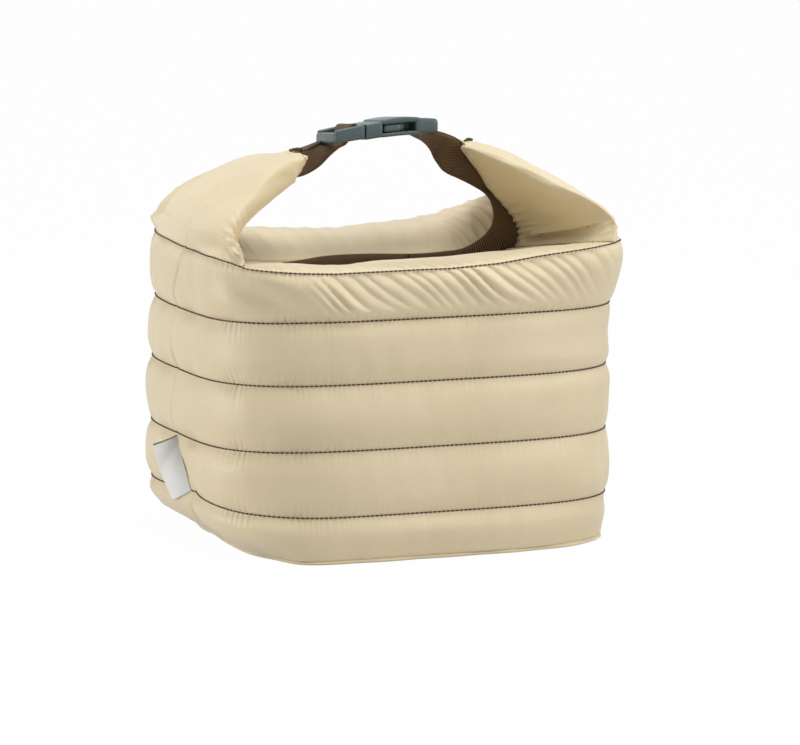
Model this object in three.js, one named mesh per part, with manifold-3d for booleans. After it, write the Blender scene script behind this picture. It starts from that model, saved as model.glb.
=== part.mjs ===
// Quilted insulated bag whose top folds shut: its two gathered ends lean in and clip together as a handle.
// Millimetres. +X runs along the length, -Y is the front, +Z is up, and the bag stands on z = 0.
import * as THREE from "three";
import { mergeVertices } from "three/addons/utils/BufferGeometryUtils.js";
import Module from "manifold-3d";

const wasm = await Module();
wasm.setup();

// Clearance between touching pieces, and around pieces that slide or turn
const GAP = 0.3;
const PLAY = 0.5;

// Body: plan size at the quilting seams, how square its corners are, and the quilted bands
const BODY_LENGTH = 260;
const BODY_DEPTH = 210;
const SQUARENESS = 3.9;
const BOTTOM_BAND = 30;
const BAND_HEIGHT = 39;
const BAND_COUNT = 5;
const PUFF = 4;
const SEAM_FLAT = 0.8;
const FRONT_SAG = 10;
const BACK_SAG = 12;
const SAG_REACH = 0.42;
const SHELL_BACKING = 3;
const HEM_TUCK = 5;
const HEM_LIFT = 1.5;
const PLAN_STEPS = 32;

// The left end leans in towards the floor, and the front corners flare out over the height under the top seam
const END_TUCK = 23;
const END_TUCK_HEIGHT = 55;
const LEFT_FLARE = 5;
const RIGHT_FLARE = 8;
const FLARE_HEIGHT = 56;

// Layers inside the quilted shell, from the outside in and from the floor up
const BINDING_WIDTH = 14;
const BINDING_THICKNESS = 0.35;
const BINDING_GAP = 0.45;
const FOAM_THICKNESS = 5;
const LINER_THICKNESS = 0.8;
const BASE_PAD_THICKNESS = 4.5;
const BASE_PAD_ROUND = 1.5;
const BOARD_THICKNESS = 2;
const BOARD_INSET = 8;
const LINER_DROP = 21;
const LAYER_LEVELS = 8;

// Thread that shows in the quilting seams
const THREAD_WIDTH = 0.8;

// Plan size of the body that the ears, flaps and mouth webbing below are drawn on: they stretch with the body
const DRAWN_LENGTH = 260;
const DRAWN_DEPTH = 210;

// Ears: the two gathered ends of the top band, from the top quilting seam up to the tip. Points are x, y and
// height above that seam, on the right ear: of its side seam, of its ridge and of its mouth
const EAR_SEAM_PATH = [[128.5, 0, 2], [120, 0, 17], [105, 0, 31.5], [83, 0, 44.5], [51, 0, 52]];
const EAR_RIDGE_PATH = [[114, 89, 2.5], [112, 79, 16], [100, 61, 29], [80, 37, 42.5], [53, 12, 48.5]];
const EAR_MOUTH_PATH = [[89, 1.5, -10], [88, 1.5, 2.5], [79.5, 1.5, 18.5], [62.5, 1.5, 34.5], [50, 1.5, 43]];
const EAR_PUFF = 5;
const EAR_TIP_PUFF = 3;
const EAR_FOLD_PUFF = 6;
const EAR_WALL = 4;
const EAR_TIP_WALL = 2;
const EAR_STEPS = 10;
const EAR_FACE_STEPS = 5;

// Front and back flaps: the long sides of the top band, folded in to meet at the mouth. Heights of their middle
// above the top seam, from the root to the mouth, at the side edges and halfway along
const FLAP_THICKNESS = 8;
const FLAP_EDGE_THICKNESS = 2.8;
const FLAP_ROOT_INSET = 3.5;
const FLAP_MOUTH_GAP = 5.5;
const FLAP_ROOT_HALF = 108;
const FLAP_MOUTH_HALF = 98;
const FLAP_SIDE_HEIGHTS = [-5, -9, -14.5, -21];
const FRONT_FLAP_HEIGHTS = [-5, -9, -14.5, -21];
const BACK_FLAP_HEIGHTS = [-5, -4.5, -7, -18];
const FLAP_LINING = 0.6;
const FLAP_LINING_TRIM = 0.06;
const FLAP_LINING_DROP = 1;
const FLAP_STEPS = 10;

// Webbing: one width and thickness all over, its turns given by the points of its middle line as x, z
const WEBBING_WIDTH = 25;
const WEBBING_THICKNESS = 1.5;
const MOUTH_WEBBING_HALF = 77;
const MOUTH_WEBBING_DROP = 15;
const EAR_WEBBING_WIDTH = 13;
const TAIL_FLATTENS_AT = 0.45;
const TAIL_STEPS = 24;
const BARTACK = [7, 9, 1.6];
const BARTACK_SEAT = 0.6;

// Side-release buckle lying along X, the female half on the right
const BUCKLE_LENGTH = 67;
const BUCKLE_WIDTH = 33;
const BUCKLE_THICKNESS = 10;
const BUCKLE_LEFT = -33;
const BUCKLE_RISE = 62;
const BUCKLE_CORNER = 4;
const EDGE_ROUND = 1.2;
const MALE_LENGTH = 24;
const FRAME_BAR = 3.5;
const FRAME_SIDE = 3;
const MIDDLE_BAR = 3.6;
const TONGUE_WIDTH = 8;
const TONGUE_LENGTH = 9;
const SOCKET_SIDE = 2;
const SOCKET_PLATE = 1.6;
const SOCKET_DEPTH = 30;
const WINDOW_START = 11;
const WINDOW_LENGTH = 19;
const END_BAR = 3.5;
const END_SLOT = 4.5;
const PRONG_ARM = 3;
const PRONG_LENGTH = 25;
const BUTTON_LENGTH = 13;
const BUTTON_RECESS = 0.4;

// Label sewn into the left side seam
const LABEL_WIDTH = 17;
const LABEL_HEIGHT = 31;
const LABEL_THICKNESS = 0.8;
const LABEL_BOTTOM = 28;
const LABEL_ANGLE_DEG = 40;

const TOP_SEAM = BOTTOM_BAND + BAND_HEIGHT * (BAND_COUNT - 1);
const BUCKLE_MID_Z = TOP_SEAM + BUCKLE_RISE;
const STRETCH_X = BODY_LENGTH / DRAWN_LENGTH;
const STRETCH_Y = BODY_DEPTH / DRAWN_DEPTH;
const FRONT = -1;
const BACK = 1;
const LEFT = -1;
const RIGHT = 1;

const finishes = {
  shell: { color: 0xe0d3b4, roughness: 0.6 },
  lining: { color: 0xc9ccce, roughness: 0.35, metalness: 0.4 },
  foam: { color: 0xf1f0ea, roughness: 0.9 },
  board: { color: 0x8a7a62, roughness: 0.9 },
  tape: { color: 0xcfc2a2, roughness: 0.8 },
  thread: { color: 0x4a3626, roughness: 0.8 },
  webbing: { color: 0x5d4537, roughness: 0.8 },
  buckle: { color: 0x24353b, roughness: 0.4 },
  label: { color: 0xf4f3ef, roughness: 0.7 },
};

const materials = Object.fromEntries(
  Object.entries(finishes).map(([name, finish]) => [name, new THREE.MeshStandardMaterial(finish)]),
);

const bag = new THREE.Group();

function add(name, geometry, finish, parent = bag) {
  const mesh = new THREE.Mesh(geometry, materials[finish]);
  mesh.name = name;
  parent.add(mesh);
  return mesh;
}

// Closed surface with its faces turned out
function closedGeometry(positions, triangles) {
  let volume = 0;
  for (const [a, b, c] of triangles) {
    volume += positions[a].dot(new THREE.Vector3().crossVectors(positions[b], positions[c]));
  }
  const ordered = volume < 0 ? triangles.map(([a, b, c]) => [a, c, b]) : triangles;
  const geometry = new THREE.BufferGeometry();
  const numbers = positions.flatMap((point) => point.toArray());
  geometry.setAttribute("position", new THREE.Float32BufferAttribute(numbers, 3));
  geometry.setIndex(ordered.flat());
  return geometry;
}

// Solid between two matching grids of points: one outer surface, one inner surface and the edges that join them
function slab(outer, inner, closed = false) {
  const rows = outer.length;
  const columns = outer[0].length;
  const positions = [...outer.flat(), ...inner.flat()];
  const triangles = [];
  const out = (row, column) => (row % rows) * columns + column;
  const into = (row, column) => rows * columns + out(row, column);
  const quad = (a, b, c, d) => triangles.push([a, b, c], [a, c, d]);
  const lastRow = closed ? rows : rows - 1;
  for (let row = 0; row < lastRow; row += 1) {
    for (let column = 0; column < columns - 1; column += 1) {
      quad(out(row, column), out(row + 1, column), out(row + 1, column + 1), out(row, column + 1));
      quad(into(row, column), into(row, column + 1), into(row + 1, column + 1), into(row + 1, column));
    }
    quad(out(row, 0), into(row, 0), into(row + 1, 0), out(row + 1, 0));
    const end = columns - 1;
    quad(out(row, end), out(row + 1, end), into(row + 1, end), into(row, end));
  }
  if (!closed) {
    for (let column = 0; column < columns - 1; column += 1) {
      quad(out(0, column), out(0, column + 1), into(0, column + 1), into(0, column));
      const end = rows - 1;
      quad(out(end, column), into(end, column), into(end, column + 1), out(end, column + 1));
    }
  }
  return closedGeometry(positions, triangles);
}

function toSolid(geometry) {
  const plain = geometry.clone();
  plain.deleteAttribute("normal");
  plain.deleteAttribute("uv");
  const merged = mergeVertices(plain, 1e-4);
  const mesh = new wasm.Mesh({
    numProp: 3,
    vertProperties: new Float32Array(merged.attributes.position.array),
    triVerts: new Uint32Array(merged.index.array),
  });
  return new wasm.Manifold(mesh);
}

function toGeometry(solid) {
  const mesh = solid.getMesh();
  const geometry = new THREE.BufferGeometry();
  geometry.setAttribute("position", new THREE.BufferAttribute(new Float32Array(mesh.vertProperties), 3));
  geometry.setIndex(new THREE.BufferAttribute(new Uint32Array(mesh.triVerts), 1));
  return geometry;
}

function spread(count, from, to) {
  return Array.from({ length: count + 1 }, (_, index) => THREE.MathUtils.lerp(from, to, index / count));
}

// Plan outline of the body, moved out by some distance along its normal
function outlinePoint(angle, out) {
  const power = 2 / SQUARENESS;
  const c = Math.cos(angle);
  const s = Math.sin(angle);
  const x = (BODY_LENGTH / 2) * Math.sign(c) * Math.abs(c) ** power;
  const y = (BODY_DEPTH / 2) * Math.sign(s) * Math.abs(s) ** power;
  const slopeX = Math.sign(x) * Math.abs(x / (BODY_LENGTH / 2)) ** (SQUARENESS - 1) / (BODY_LENGTH / 2);
  const slopeY = Math.sign(y) * Math.abs(y / (BODY_DEPTH / 2)) ** (SQUARENESS - 1) / (BODY_DEPTH / 2);
  const steepness = Math.hypot(slopeX, slopeY);
  return new THREE.Vector2(x + (out * slopeX) / steepness, y + (out * slopeY) / steepness);
}

// The top quilting seam dips along the front and the back, and the next seam below stays level
function sag(x, y, z) {
  const lowerSeam = TOP_SEAM - BAND_HEIGHT;
  const rise = Math.max(0, (z - lowerSeam) / BAND_HEIGHT);
  const along = Math.max(0, 1 - (x / (BODY_LENGTH * SAG_REACH)) ** 2);
  const side = Math.min(1, Math.abs(y) / (BODY_DEPTH * SAG_REACH)) ** 4;
  return (y < 0 ? FRONT_SAG : BACK_SAG) * rise * along * side;
}

// How far the left end leans in, from its flat middle to round its corners
function endTuck(angle, z) {
  const share = Math.max(0, 1 - z / END_TUCK_HEIGHT);
  return END_TUCK * share ** 2 * THREE.MathUtils.smoothstep(-Math.cos(angle), 0.3, 0.9);
}

function cornerFlare(angle, z) {
  const share = Math.max(0, 1 - (TOP_SEAM - z) / FLARE_HEIGHT);
  const most = Math.cos(angle) < 0 ? LEFT_FLARE : RIGHT_FLARE;
  return Math.sin(angle) < 0 ? most * share * Math.abs(Math.sin(2 * angle)) : 0;
}

function wallPoint(angle, out, z) {
  const plan = outlinePoint(angle, out + cornerFlare(angle, z));
  return new THREE.Vector3(plan.x + endTuck(angle, z), plan.y, z - sag(plan.x, plan.y, z));
}

// Heights of the floor's layers, and of the wall layers that stand on it
const boardLow = BASE_PAD_THICKNESS + GAP;
const foamLow = boardLow + BOARD_THICKNESS + GAP;
const wallLow = foamLow + FOAM_THICKNESS + GAP;

// Outer profile of the quilted wall as distance out and height, from the hem to the top quilting seam
function quiltProfile() {
  const straight = wallLow - GAP;
  const profile = [
    [-HEM_TUCK, HEM_LIFT],
    [-HEM_TUCK / 2, HEM_LIFT + 0.7],
    [-HEM_TUCK / 6, straight / 2],
    [PUFF * 0.55, straight],
    [PUFF * 0.85, THREE.MathUtils.lerp(straight, BOTTOM_BAND, 0.5)],
    [PUFF * 0.55, THREE.MathUtils.lerp(straight, BOTTOM_BAND, 0.85)],
    [0, BOTTOM_BAND - SEAM_FLAT],
  ];
  for (let band = 1; band < BAND_COUNT; band += 1) {
    const low = BOTTOM_BAND + BAND_HEIGHT * (band - 1);
    profile.push([0, low + SEAM_FLAT]);
    for (const [share, height] of [[0.65, 0.1], [1, 0.36], [1, 0.64], [0.65, 0.9]]) {
      profile.push([PUFF * share, low + BAND_HEIGHT * height]);
    }
    profile.push([0, low + BAND_HEIGHT - SEAM_FLAT]);
  }
  profile.push([0, TOP_SEAM + SEAM_FLAT]);
  return profile;
}

// Inner face of the quilted wall, matched point by point to the outer profile
function backingProfile(outer) {
  const tucked = [[-HEM_TUCK, HEM_LIFT + 2], [-HEM_TUCK * 0.75, HEM_LIFT + 3], [-HEM_TUCK / 2, foamLow]];
  return outer.map(([, z], index) => tucked[index] ?? [-SHELL_BACKING, z]);
}

function quiltedHalf(from, to) {
  const outer = quiltProfile();
  const inner = backingProfile(outer);
  const angles = spread(PLAN_STEPS / 2, from, to);
  const grid = (profile) => angles.map((angle) => profile.map(([out, z]) => wallPoint(angle, out, z)));
  return slab(grid(outer), grid(inner));
}

// Wall of one thickness that follows the plan outline all the way round
function ringWall(outOuter, outInner, low, high, levels = LAYER_LEVELS) {
  const angles = spread(PLAN_STEPS, 0, 2 * Math.PI).slice(0, -1);
  const heights = spread(levels, low, high);
  const grid = (out) => angles.map((angle) => heights.map((z) => wallPoint(angle, out, z)));
  return slab(grid(outOuter), grid(outInner), true);
}

function plate(out, low, thickness, bevel = 0) {
  const corner = (angle) => wallPoint(angle, out - bevel, low);
  const angles = spread(PLAN_STEPS, 0, 2 * Math.PI).slice(0, -1);
  const shape = new THREE.Shape(angles.map(corner).map(({ x, y }) => new THREE.Vector2(x, y)));
  const geometry = new THREE.ExtrudeGeometry(shape, {
    depth: thickness - 2 * bevel,
    bevelEnabled: bevel > 0,
    bevelSize: bevel,
    bevelThickness: bevel,
    bevelSegments: 2,
  });
  geometry.translate(0, 0, low + bevel);
  return geometry;
}

const seamCut = (GAP / 2) / (BODY_DEPTH / 2);
const seamAngle = Math.asin(seamCut ** (SQUARENESS / 2));
add("front_shell", quiltedHalf(Math.PI + seamAngle, 2 * Math.PI - seamAngle), "shell");
add("back_shell", quiltedHalf(seamAngle, Math.PI - seamAngle), "shell");

// Floor, from the ground up
const bindingOut = -(SHELL_BACKING + BINDING_GAP);
const foamOut = bindingOut - BINDING_THICKNESS - GAP;
const linerOut = foamOut - FOAM_THICKNESS - GAP;
const linerIn = linerOut - LINER_THICKNESS;
add("base_shell", plate(-HEM_TUCK - GAP, 0, BASE_PAD_THICKNESS, BASE_PAD_ROUND), "shell");
add("base_board", plate(-BOARD_INSET, boardLow, BOARD_THICKNESS), "board");
add("foam_base", plate(-BOARD_INSET, foamLow, FOAM_THICKNESS), "foam");
add("liner_base", plate(linerIn - GAP, wallLow, LINER_THICKNESS), "lining");

// Wall layers
const foamHigh = TOP_SEAM - LINER_DROP;
add("foam_wall", ringWall(foamOut, foamOut - FOAM_THICKNESS, wallLow, foamHigh), "foam");
add("liner_wall", ringWall(linerOut, linerIn, wallLow, foamHigh), "lining");

// Tape that binds each side seam on the inside
function seamBinding(angle) {
  const heights = spread(LAYER_LEVELS, wallLow, foamHigh);
  const face = (out) => [-1, 1].map((edge) => (
    heights.map((z) => wallPoint(angle, out, z).setY((edge * BINDING_WIDTH) / 2))
  ));
  return slab(face(bindingOut), face(bindingOut - BINDING_THICKNESS));
}

add("left_seam_binding", seamBinding(Math.PI), "tape");
add("right_seam_binding", seamBinding(0), "tape");

// Quilting threads, each lying in its seam groove
for (let seam = 0; seam < BAND_COUNT; seam += 1) {
  const z = BOTTOM_BAND + BAND_HEIGHT * seam;
  const ring = ringWall(GAP + THREAD_WIDTH, GAP, z - THREAD_WIDTH / 2, z + THREAD_WIDTH / 2, 1);
  add(`quilting_thread_${seam + 1}`, ring, "thread");
}

function curveThrough(points) {
  return new THREE.CatmullRomCurve3(points.map((point) => new THREE.Vector3(...point)), false, "centripetal");
}

// Line of an ear, fitted to this body
function earLine(path) {
  return curveThrough(path.map(([x, y, rise]) => [x * STRETCH_X, y * STRETCH_Y, TOP_SEAM + rise]));
}

const earSeam = earLine(EAR_SEAM_PATH);
const earRidge = earLine(EAR_RIDGE_PATH);
const earMouth = earLine(EAR_MOUTH_PATH);

// One cross section of an ear, drawn in towards its own middle by the wall: from the front mouth edge round the
// front ridge, the side seam and the back ridge to the back mouth edge
function earSection(side, v, wall) {
  const seam = earSeam.getPoint(v);
  const ridge = earRidge.getPoint(v);
  const mouth = earMouth.getPoint(v);
  const puff = THREE.MathUtils.lerp(EAR_PUFF, EAR_TIP_PUFF, v);
  const foldPuff = THREE.MathUtils.lerp(EAR_FOLD_PUFF, EAR_TIP_PUFF / 2, v);
  const outward = seam.clone().sub(mouth).setY(0).normalize();
  const half = [];
  for (const share of spread(EAR_FACE_STEPS, 0, 1).slice(0, -1)) {
    half.push(mouth.clone().lerp(ridge, share).addScaledVector(outward, -foldPuff * Math.sin(Math.PI * share)));
  }
  for (const share of spread(EAR_FACE_STEPS, 0, 1)) {
    half.push(ridge.clone().lerp(seam, share).addScaledVector(outward, 4 * puff * share * (1 - share)));
  }
  const spine = seam.clone().lerp(mouth, 0.5);
  const depth = (seam.distanceTo(mouth) + puff) / 2;
  for (const point of half) {
    const middle = spine.clone().lerp(ridge, Math.min(1, point.y / ridge.y));
    point.x += ((middle.x - point.x) * wall) / depth;
    point.z += ((middle.z - point.z) * wall) / depth;
    if (point.y > mouth.y) point.y = Math.max(mouth.y, point.y * (1 - wall / ridge.y));
  }
  const place = (face) => (point) => new THREE.Vector3(side * point.x, face * point.y, point.z);
  return [...half.map(place(FRONT)), ...half.slice(0, -1).reverse().map(place(BACK))];
}

function earShell(side) {
  const places = spread(EAR_STEPS, 0, 1);
  const outer = places.map((v) => earSection(side, v, 0));
  const inner = places.map((v) => earSection(side, v, THREE.MathUtils.lerp(EAR_WALL, EAR_TIP_WALL, v)));
  return slab(outer, inner);
}

// Webbing that stands out as a fin from the ear's mouth slit: its two edges at one place along the slit
function finEdges(v) {
  const mouth = earMouth.getPoint(v).setY(0);
  const { x, z } = earMouth.getTangent(v).setY(0).normalize();
  const inward = new THREE.Vector3(-z, 0, x);
  return [GAP, EAR_WEBBING_WIDTH].map((reach) => mouth.clone().addScaledVector(inward, reach));
}

function earWebbing(side) {
  const fin = (y) => spread(EAR_STEPS, 0, 1).map((v) => (
    finEdges(v).map((point) => new THREE.Vector3(side * point.x, y, point.z))
  ));
  return slab(fin(-WEBBING_THICKNESS / 2), fin(WEBBING_THICKNESS / 2));
}

for (const [word, side] of [["left", LEFT], ["right", RIGHT]]) {
  add(`${word}_ear_shell`, earShell(side), "shell");
  add(`${word}_ear_webbing`, earWebbing(side), "webbing");
  const [length, width, height] = BARTACK;
  const tack = add(`${word}_bartack`, new THREE.BoxGeometry(length, width, height), "thread");
  const tip = earSeam.getPoint(1);
  tack.position.set(side * (tip.x + length / 2), 0, tip.z + EAR_TIP_PUFF * BARTACK_SEAT + GAP + height / 2);
}

// Grid of points on a flap: across its width and from its root, along the body's inside, to the mouth
function flapGrid(face, middleHeights, offset, trim = 0) {
  const root = BODY_DEPTH / 2 - FLAP_ROOT_INSET;
  const insideHalf = BODY_LENGTH / 2 - FLAP_ROOT_INSET;
  const heightAlong = (heights) => curveThrough(heights.map((rise, i) => [i, 0, TOP_SEAM + rise]));
  const sides = heightAlong(FLAP_SIDE_HEIGHTS);
  const middles = heightAlong(middleHeights);
  return spread(FLAP_STEPS, -1, 1).map((across) => spread(FLAP_STEPS / 2, 0, 1).map((along) => {
    const u = across * (1 - trim);
    const v = trim + along * (1 - 2 * trim);
    const x = u * STRETCH_X * THREE.MathUtils.lerp(FLAP_ROOT_HALF, FLAP_MOUTH_HALF, v);
    const rootY = root * (1 - Math.abs(x / insideHalf) ** SQUARENESS) ** (1 / SQUARENESS);
    const y = THREE.MathUtils.lerp(rootY, FLAP_MOUTH_GAP, v);
    const height = THREE.MathUtils.lerp(middles.getPoint(v).z, sides.getPoint(v).z, Math.abs(u) ** 3);
    const dip = sag(x, face * root, TOP_SEAM) * (1 - v) ** 3;
    const edge = Math.max(Math.abs(u), Math.abs(2 * v - 1));
    return new THREE.Vector3(x, face * y, height - dip + offset(edge));
  }));
}

for (const [word, face, heights] of [["front", FRONT, FRONT_FLAP_HEIGHTS], ["back", BACK, BACK_FLAP_HEIGHTS]]) {
  const swell = (edge) => THREE.MathUtils.lerp(FLAP_THICKNESS, FLAP_EDGE_THICKNESS, edge ** 8) / 2;
  const shell = slab(flapGrid(face, heights, swell), flapGrid(face, heights, (edge) => -swell(edge)));
  add(`${word}_flap_shell`, shell, "shell");
  const drop = FLAP_THICKNESS / 2 + FLAP_LINING_DROP;
  const lining = slab(
    flapGrid(face, heights, () => -drop, FLAP_LINING_TRIM),
    flapGrid(face, heights, () => -drop - FLAP_LINING, FLAP_LINING_TRIM),
  );
  add(`${word}_flap_lining`, lining, "lining");
}

// Webbing that starts in line with the fin at an ear's tip and turns flat on its way to the buckle
function tail(side, route) {
  const [outerEdge, innerEdge] = finEdges(1);
  const finAcross = outerEdge.clone().sub(innerEdge).normalize();
  const onward = earMouth.getTangent(1).setY(0).normalize();
  const start = outerEdge.clone().lerp(innerEdge, 0.5).addScaledVector(onward, GAP);
  const line = curveThrough([start.toArray(), ...route.map(([x, z]) => [side * x, 0, z])]);
  const flat = new THREE.Vector3(0, 1, 0);
  const places = spread(TAIL_STEPS, 0, 1).map((v) => {
    const turned = THREE.MathUtils.smoothstep(v, 0, TAIL_FLATTENS_AT);
    const angle = (turned * Math.PI) / 2;
    const across = finAcross.clone().multiplyScalar(Math.cos(angle)).addScaledVector(flat, Math.sin(angle));
    const width = THREE.MathUtils.lerp(outerEdge.distanceTo(innerEdge), WEBBING_WIDTH, turned);
    return { middle: line.getPointAt(v), across: across.normalize(), width };
  });
  const faces = [-1, 1].map((face) => places.map(({ middle, across, width }, index) => {
    const before = places[Math.max(0, index - 1)].middle;
    const after = places[Math.min(places.length - 1, index + 1)].middle;
    const normal = after.clone().sub(before).cross(across).normalize();
    return [-0.5, 0.5].map((edge) => {
      const point = middle.clone().addScaledVector(across, edge * width);
      point.addScaledVector(normal, (face * WEBBING_THICKNESS) / 2);
      return new THREE.Vector3(side * point.x, point.y, point.z);
    });
  }));
  return slab(faces[0], faces[1]);
}

// Webbing along the mouth, sewn to the edge of the back flap
const mouthWebbing = add(
  "mouth_webbing",
  new THREE.BoxGeometry(2 * MOUTH_WEBBING_HALF * STRETCH_X, WEBBING_THICKNESS, WEBBING_WIDTH),
  "webbing",
);
const mouthWebbingMiddle = TOP_SEAM - MOUTH_WEBBING_DROP - WEBBING_WIDTH / 2;
mouthWebbing.position.set(0, FLAP_MOUTH_GAP - GAP - WEBBING_THICKNESS / 2, mouthWebbingMiddle);

// Block with rounded plan corners and softened edges, its left face at x = 0
function block(length, width, thickness, corner, soften = EDGE_ROUND) {
  const left = soften;
  const right = length - soften;
  const half = width / 2 - soften;
  const shape = new THREE.Shape();
  shape.moveTo(left + corner, -half);
  shape.lineTo(right - corner, -half);
  shape.absarc(right - corner, -half + corner, corner, -Math.PI / 2, 0);
  shape.absarc(right - corner, half - corner, corner, 0, Math.PI / 2);
  shape.absarc(left + corner, half - corner, corner, Math.PI / 2, Math.PI);
  shape.absarc(left + corner, -half + corner, corner, Math.PI, 1.5 * Math.PI);
  const geometry = new THREE.ExtrudeGeometry(shape, {
    depth: thickness - 2 * soften,
    bevelEnabled: true,
    bevelSize: soften,
    bevelThickness: soften,
    bevelSegments: 1,
    curveSegments: 4,
  });
  geometry.translate(0, 0, soften - thickness / 2);
  return toSolid(geometry);
}

function boxBetween(low, high) {
  const [x, y, z] = high.map((value, k) => value - low[k]);
  const geometry = new THREE.BoxGeometry(x, y, z);
  geometry.translate(...low.map((value, k) => (value + high[k]) / 2));
  return toSolid(geometry);
}

const halfThick = BUCKLE_THICKNESS / 2;
const halfWide = BUCKLE_WIDTH / 2;
const socketHalfHeight = halfThick - SOCKET_PLATE;
const socketHalfWidth = halfWide - SOCKET_SIDE;
const slotHalf = halfWide - FRAME_SIDE;
const tongueHalfHeight = socketHalfHeight - PLAY;

// Male half: a ladder frame that the webbing wraps, and a tongue that guides it into the socket
function maleFrame() {
  const slotEnd = MALE_LENGTH - FRAME_BAR;
  const middle = (FRAME_BAR + slotEnd) / 2;
  const slot = boxBetween([FRAME_BAR, -slotHalf, -BUCKLE_THICKNESS], [slotEnd, slotHalf, BUCKLE_THICKNESS]);
  const bar = boxBetween(
    [middle - MIDDLE_BAR / 2, -slotHalf - EDGE_ROUND, -halfThick + EDGE_ROUND],
    [middle + MIDDLE_BAR / 2, slotHalf + EDGE_ROUND, 0],
  );
  const tongue = boxBetween(
    [slotEnd, -TONGUE_WIDTH / 2, -tongueHalfHeight],
    [MALE_LENGTH + TONGUE_LENGTH, TONGUE_WIDTH / 2, tongueHalfHeight],
  );
  return block(MALE_LENGTH, BUCKLE_WIDTH, BUCKLE_THICKNESS, BUCKLE_CORNER).subtract(slot).add(bar).add(tongue);
}

// Springy arm whose button catches in the side window of the socket, for the back side
function prong() {
  const outer = socketHalfWidth - PLAY;
  const button = halfWide - BUTTON_RECESS;
  const shoulder = WINDOW_START + PLAY;
  const end = PRONG_LENGTH;
  const shape = new THREE.Shape();
  shape.moveTo(0, outer - PRONG_ARM);
  shape.lineTo(end, outer - PRONG_ARM);
  shape.lineTo(end, outer - 1);
  shape.quadraticCurveTo(end - 1, button, shoulder + BUTTON_LENGTH / 2, button);
  shape.lineTo(shoulder + 1, button);
  shape.lineTo(shoulder, button - 1);
  shape.lineTo(shoulder, outer);
  shape.lineTo(0, outer);
  const depth = 2 * tongueHalfHeight;
  const geometry = new THREE.ExtrudeGeometry(shape, { depth, bevelEnabled: false, curveSegments: 6 });
  geometry.translate(0, 0, -depth / 2);
  return toSolid(geometry);
}

// Female half: a socket open at the mouth, with a window in each side and a slot for the webbing
function femaleHousing(length) {
  const hull = block(length, BUCKLE_WIDTH, BUCKLE_THICKNESS, BUCKLE_CORNER);
  const socket = boxBetween(
    [-1, -socketHalfWidth, -socketHalfHeight],
    [SOCKET_DEPTH, socketHalfWidth, socketHalfHeight],
  );
  const window = boxBetween(
    [WINDOW_START, -BUCKLE_WIDTH, -socketHalfHeight],
    [WINDOW_START + WINDOW_LENGTH, BUCKLE_WIDTH, socketHalfHeight],
  );
  const slotFrom = length - END_BAR - END_SLOT;
  const slot = boxBetween(
    [slotFrom, -slotHalf, -BUCKLE_THICKNESS],
    [slotFrom + END_SLOT, slotHalf, BUCKLE_THICKNESS],
  );
  return hull.subtract(socket).subtract(window).subtract(slot);
}

const mouthX = BUCKLE_LEFT + MALE_LENGTH + GAP;
const femaleLength = BUCKLE_LENGTH - MALE_LENGTH - GAP;

function addBuckle(name, solid, x) {
  const mesh = add(name, toGeometry(solid), "buckle");
  mesh.position.set(x, 0, BUCKLE_MID_Z);
  return mesh;
}

addBuckle("buckle_male_frame", maleFrame(), BUCKLE_LEFT);
addBuckle("buckle_female_housing", femaleHousing(femaleLength), mouthX);
addBuckle("buckle_prong_back", prong(), mouthX);
addBuckle("buckle_prong_front", prong(), mouthX).rotation.x = Math.PI;

// Webbing tails: from the ear tips, turning flat, to the ladder frame on the left and the end slot on the right
const webbingHalf = WEBBING_THICKNESS / 2;
const frameMiddle = BUCKLE_LEFT + MALE_LENGTH / 2;
const underFrame = BUCKLE_MID_Z - halfThick - GAP - webbingHalf;
const overBar = BUCKLE_MID_Z + GAP + webbingHalf;
const barReach = MIDDLE_BAR / 2 + GAP + webbingHalf;
const leftRoute = [
  [BUCKLE_LEFT - 5, underFrame - 10],
  [BUCKLE_LEFT - 1, underFrame - 2.5],
  [BUCKLE_LEFT + FRAME_BAR - 1.5, underFrame - 0.9],
  [BUCKLE_LEFT + FRAME_BAR + 2, underFrame + 0.7],
  [frameMiddle - barReach - 1.5, BUCKLE_MID_Z - halfThick / 2],
  [frameMiddle - barReach - 0.3, overBar - 0.2],
  [frameMiddle, overBar + 1.1],
  [frameMiddle + barReach + 0.3, overBar - 0.2],
  [frameMiddle + barReach + 1, BUCKLE_MID_Z - halfThick / 2],
];
add("left_tail_webbing", tail(LEFT, leftRoute), "webbing");
const slotMiddle = BUCKLE_LEFT + BUCKLE_LENGTH - END_BAR - END_SLOT / 2;
const rightRoute = [
  [BUCKLE_LEFT + BUCKLE_LENGTH + 9, underFrame - 11],
  [BUCKLE_LEFT + BUCKLE_LENGTH + 1, underFrame - 2],
  [slotMiddle + 2, underFrame - 0.6],
  [slotMiddle, BUCKLE_MID_Z - halfThick + 2],
  [slotMiddle, BUCKLE_MID_Z + 2],
];
add("right_tail_webbing", tail(RIGHT, rightRoute), "webbing");

// Label that stands out of the left side seam, hinging where it is sewn in
const label = new THREE.BoxGeometry(LABEL_WIDTH, LABEL_THICKNESS, LABEL_HEIGHT);
label.translate(-LABEL_WIDTH / 2, 0, 0);
const labelMesh = add("label", label, "label");
labelMesh.position.set(-BODY_LENGTH / 2 - PUFF - PLAY, 0, LABEL_BOTTOM + LABEL_HEIGHT / 2);
labelMesh.rotation.z = -THREE.MathUtils.degToRad(LABEL_ANGLE_DEG);

export default bag;
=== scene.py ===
# %% [markdown]
# # A quilted insulated bag, sewn in code
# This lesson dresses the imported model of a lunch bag: a puffed, quilted body, two gathered ends that lean
# in and clip together with a side-release buckle, the brown webbing along the mouth, and a small side
# label. The solids already have the sizes and the joints. Here each soft piece is made again as cloth: a
# fine grid of points, worked out in millimetres, that follows the same outlines and adds the puffs,
# gathers, seams and stitches.

import math

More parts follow.
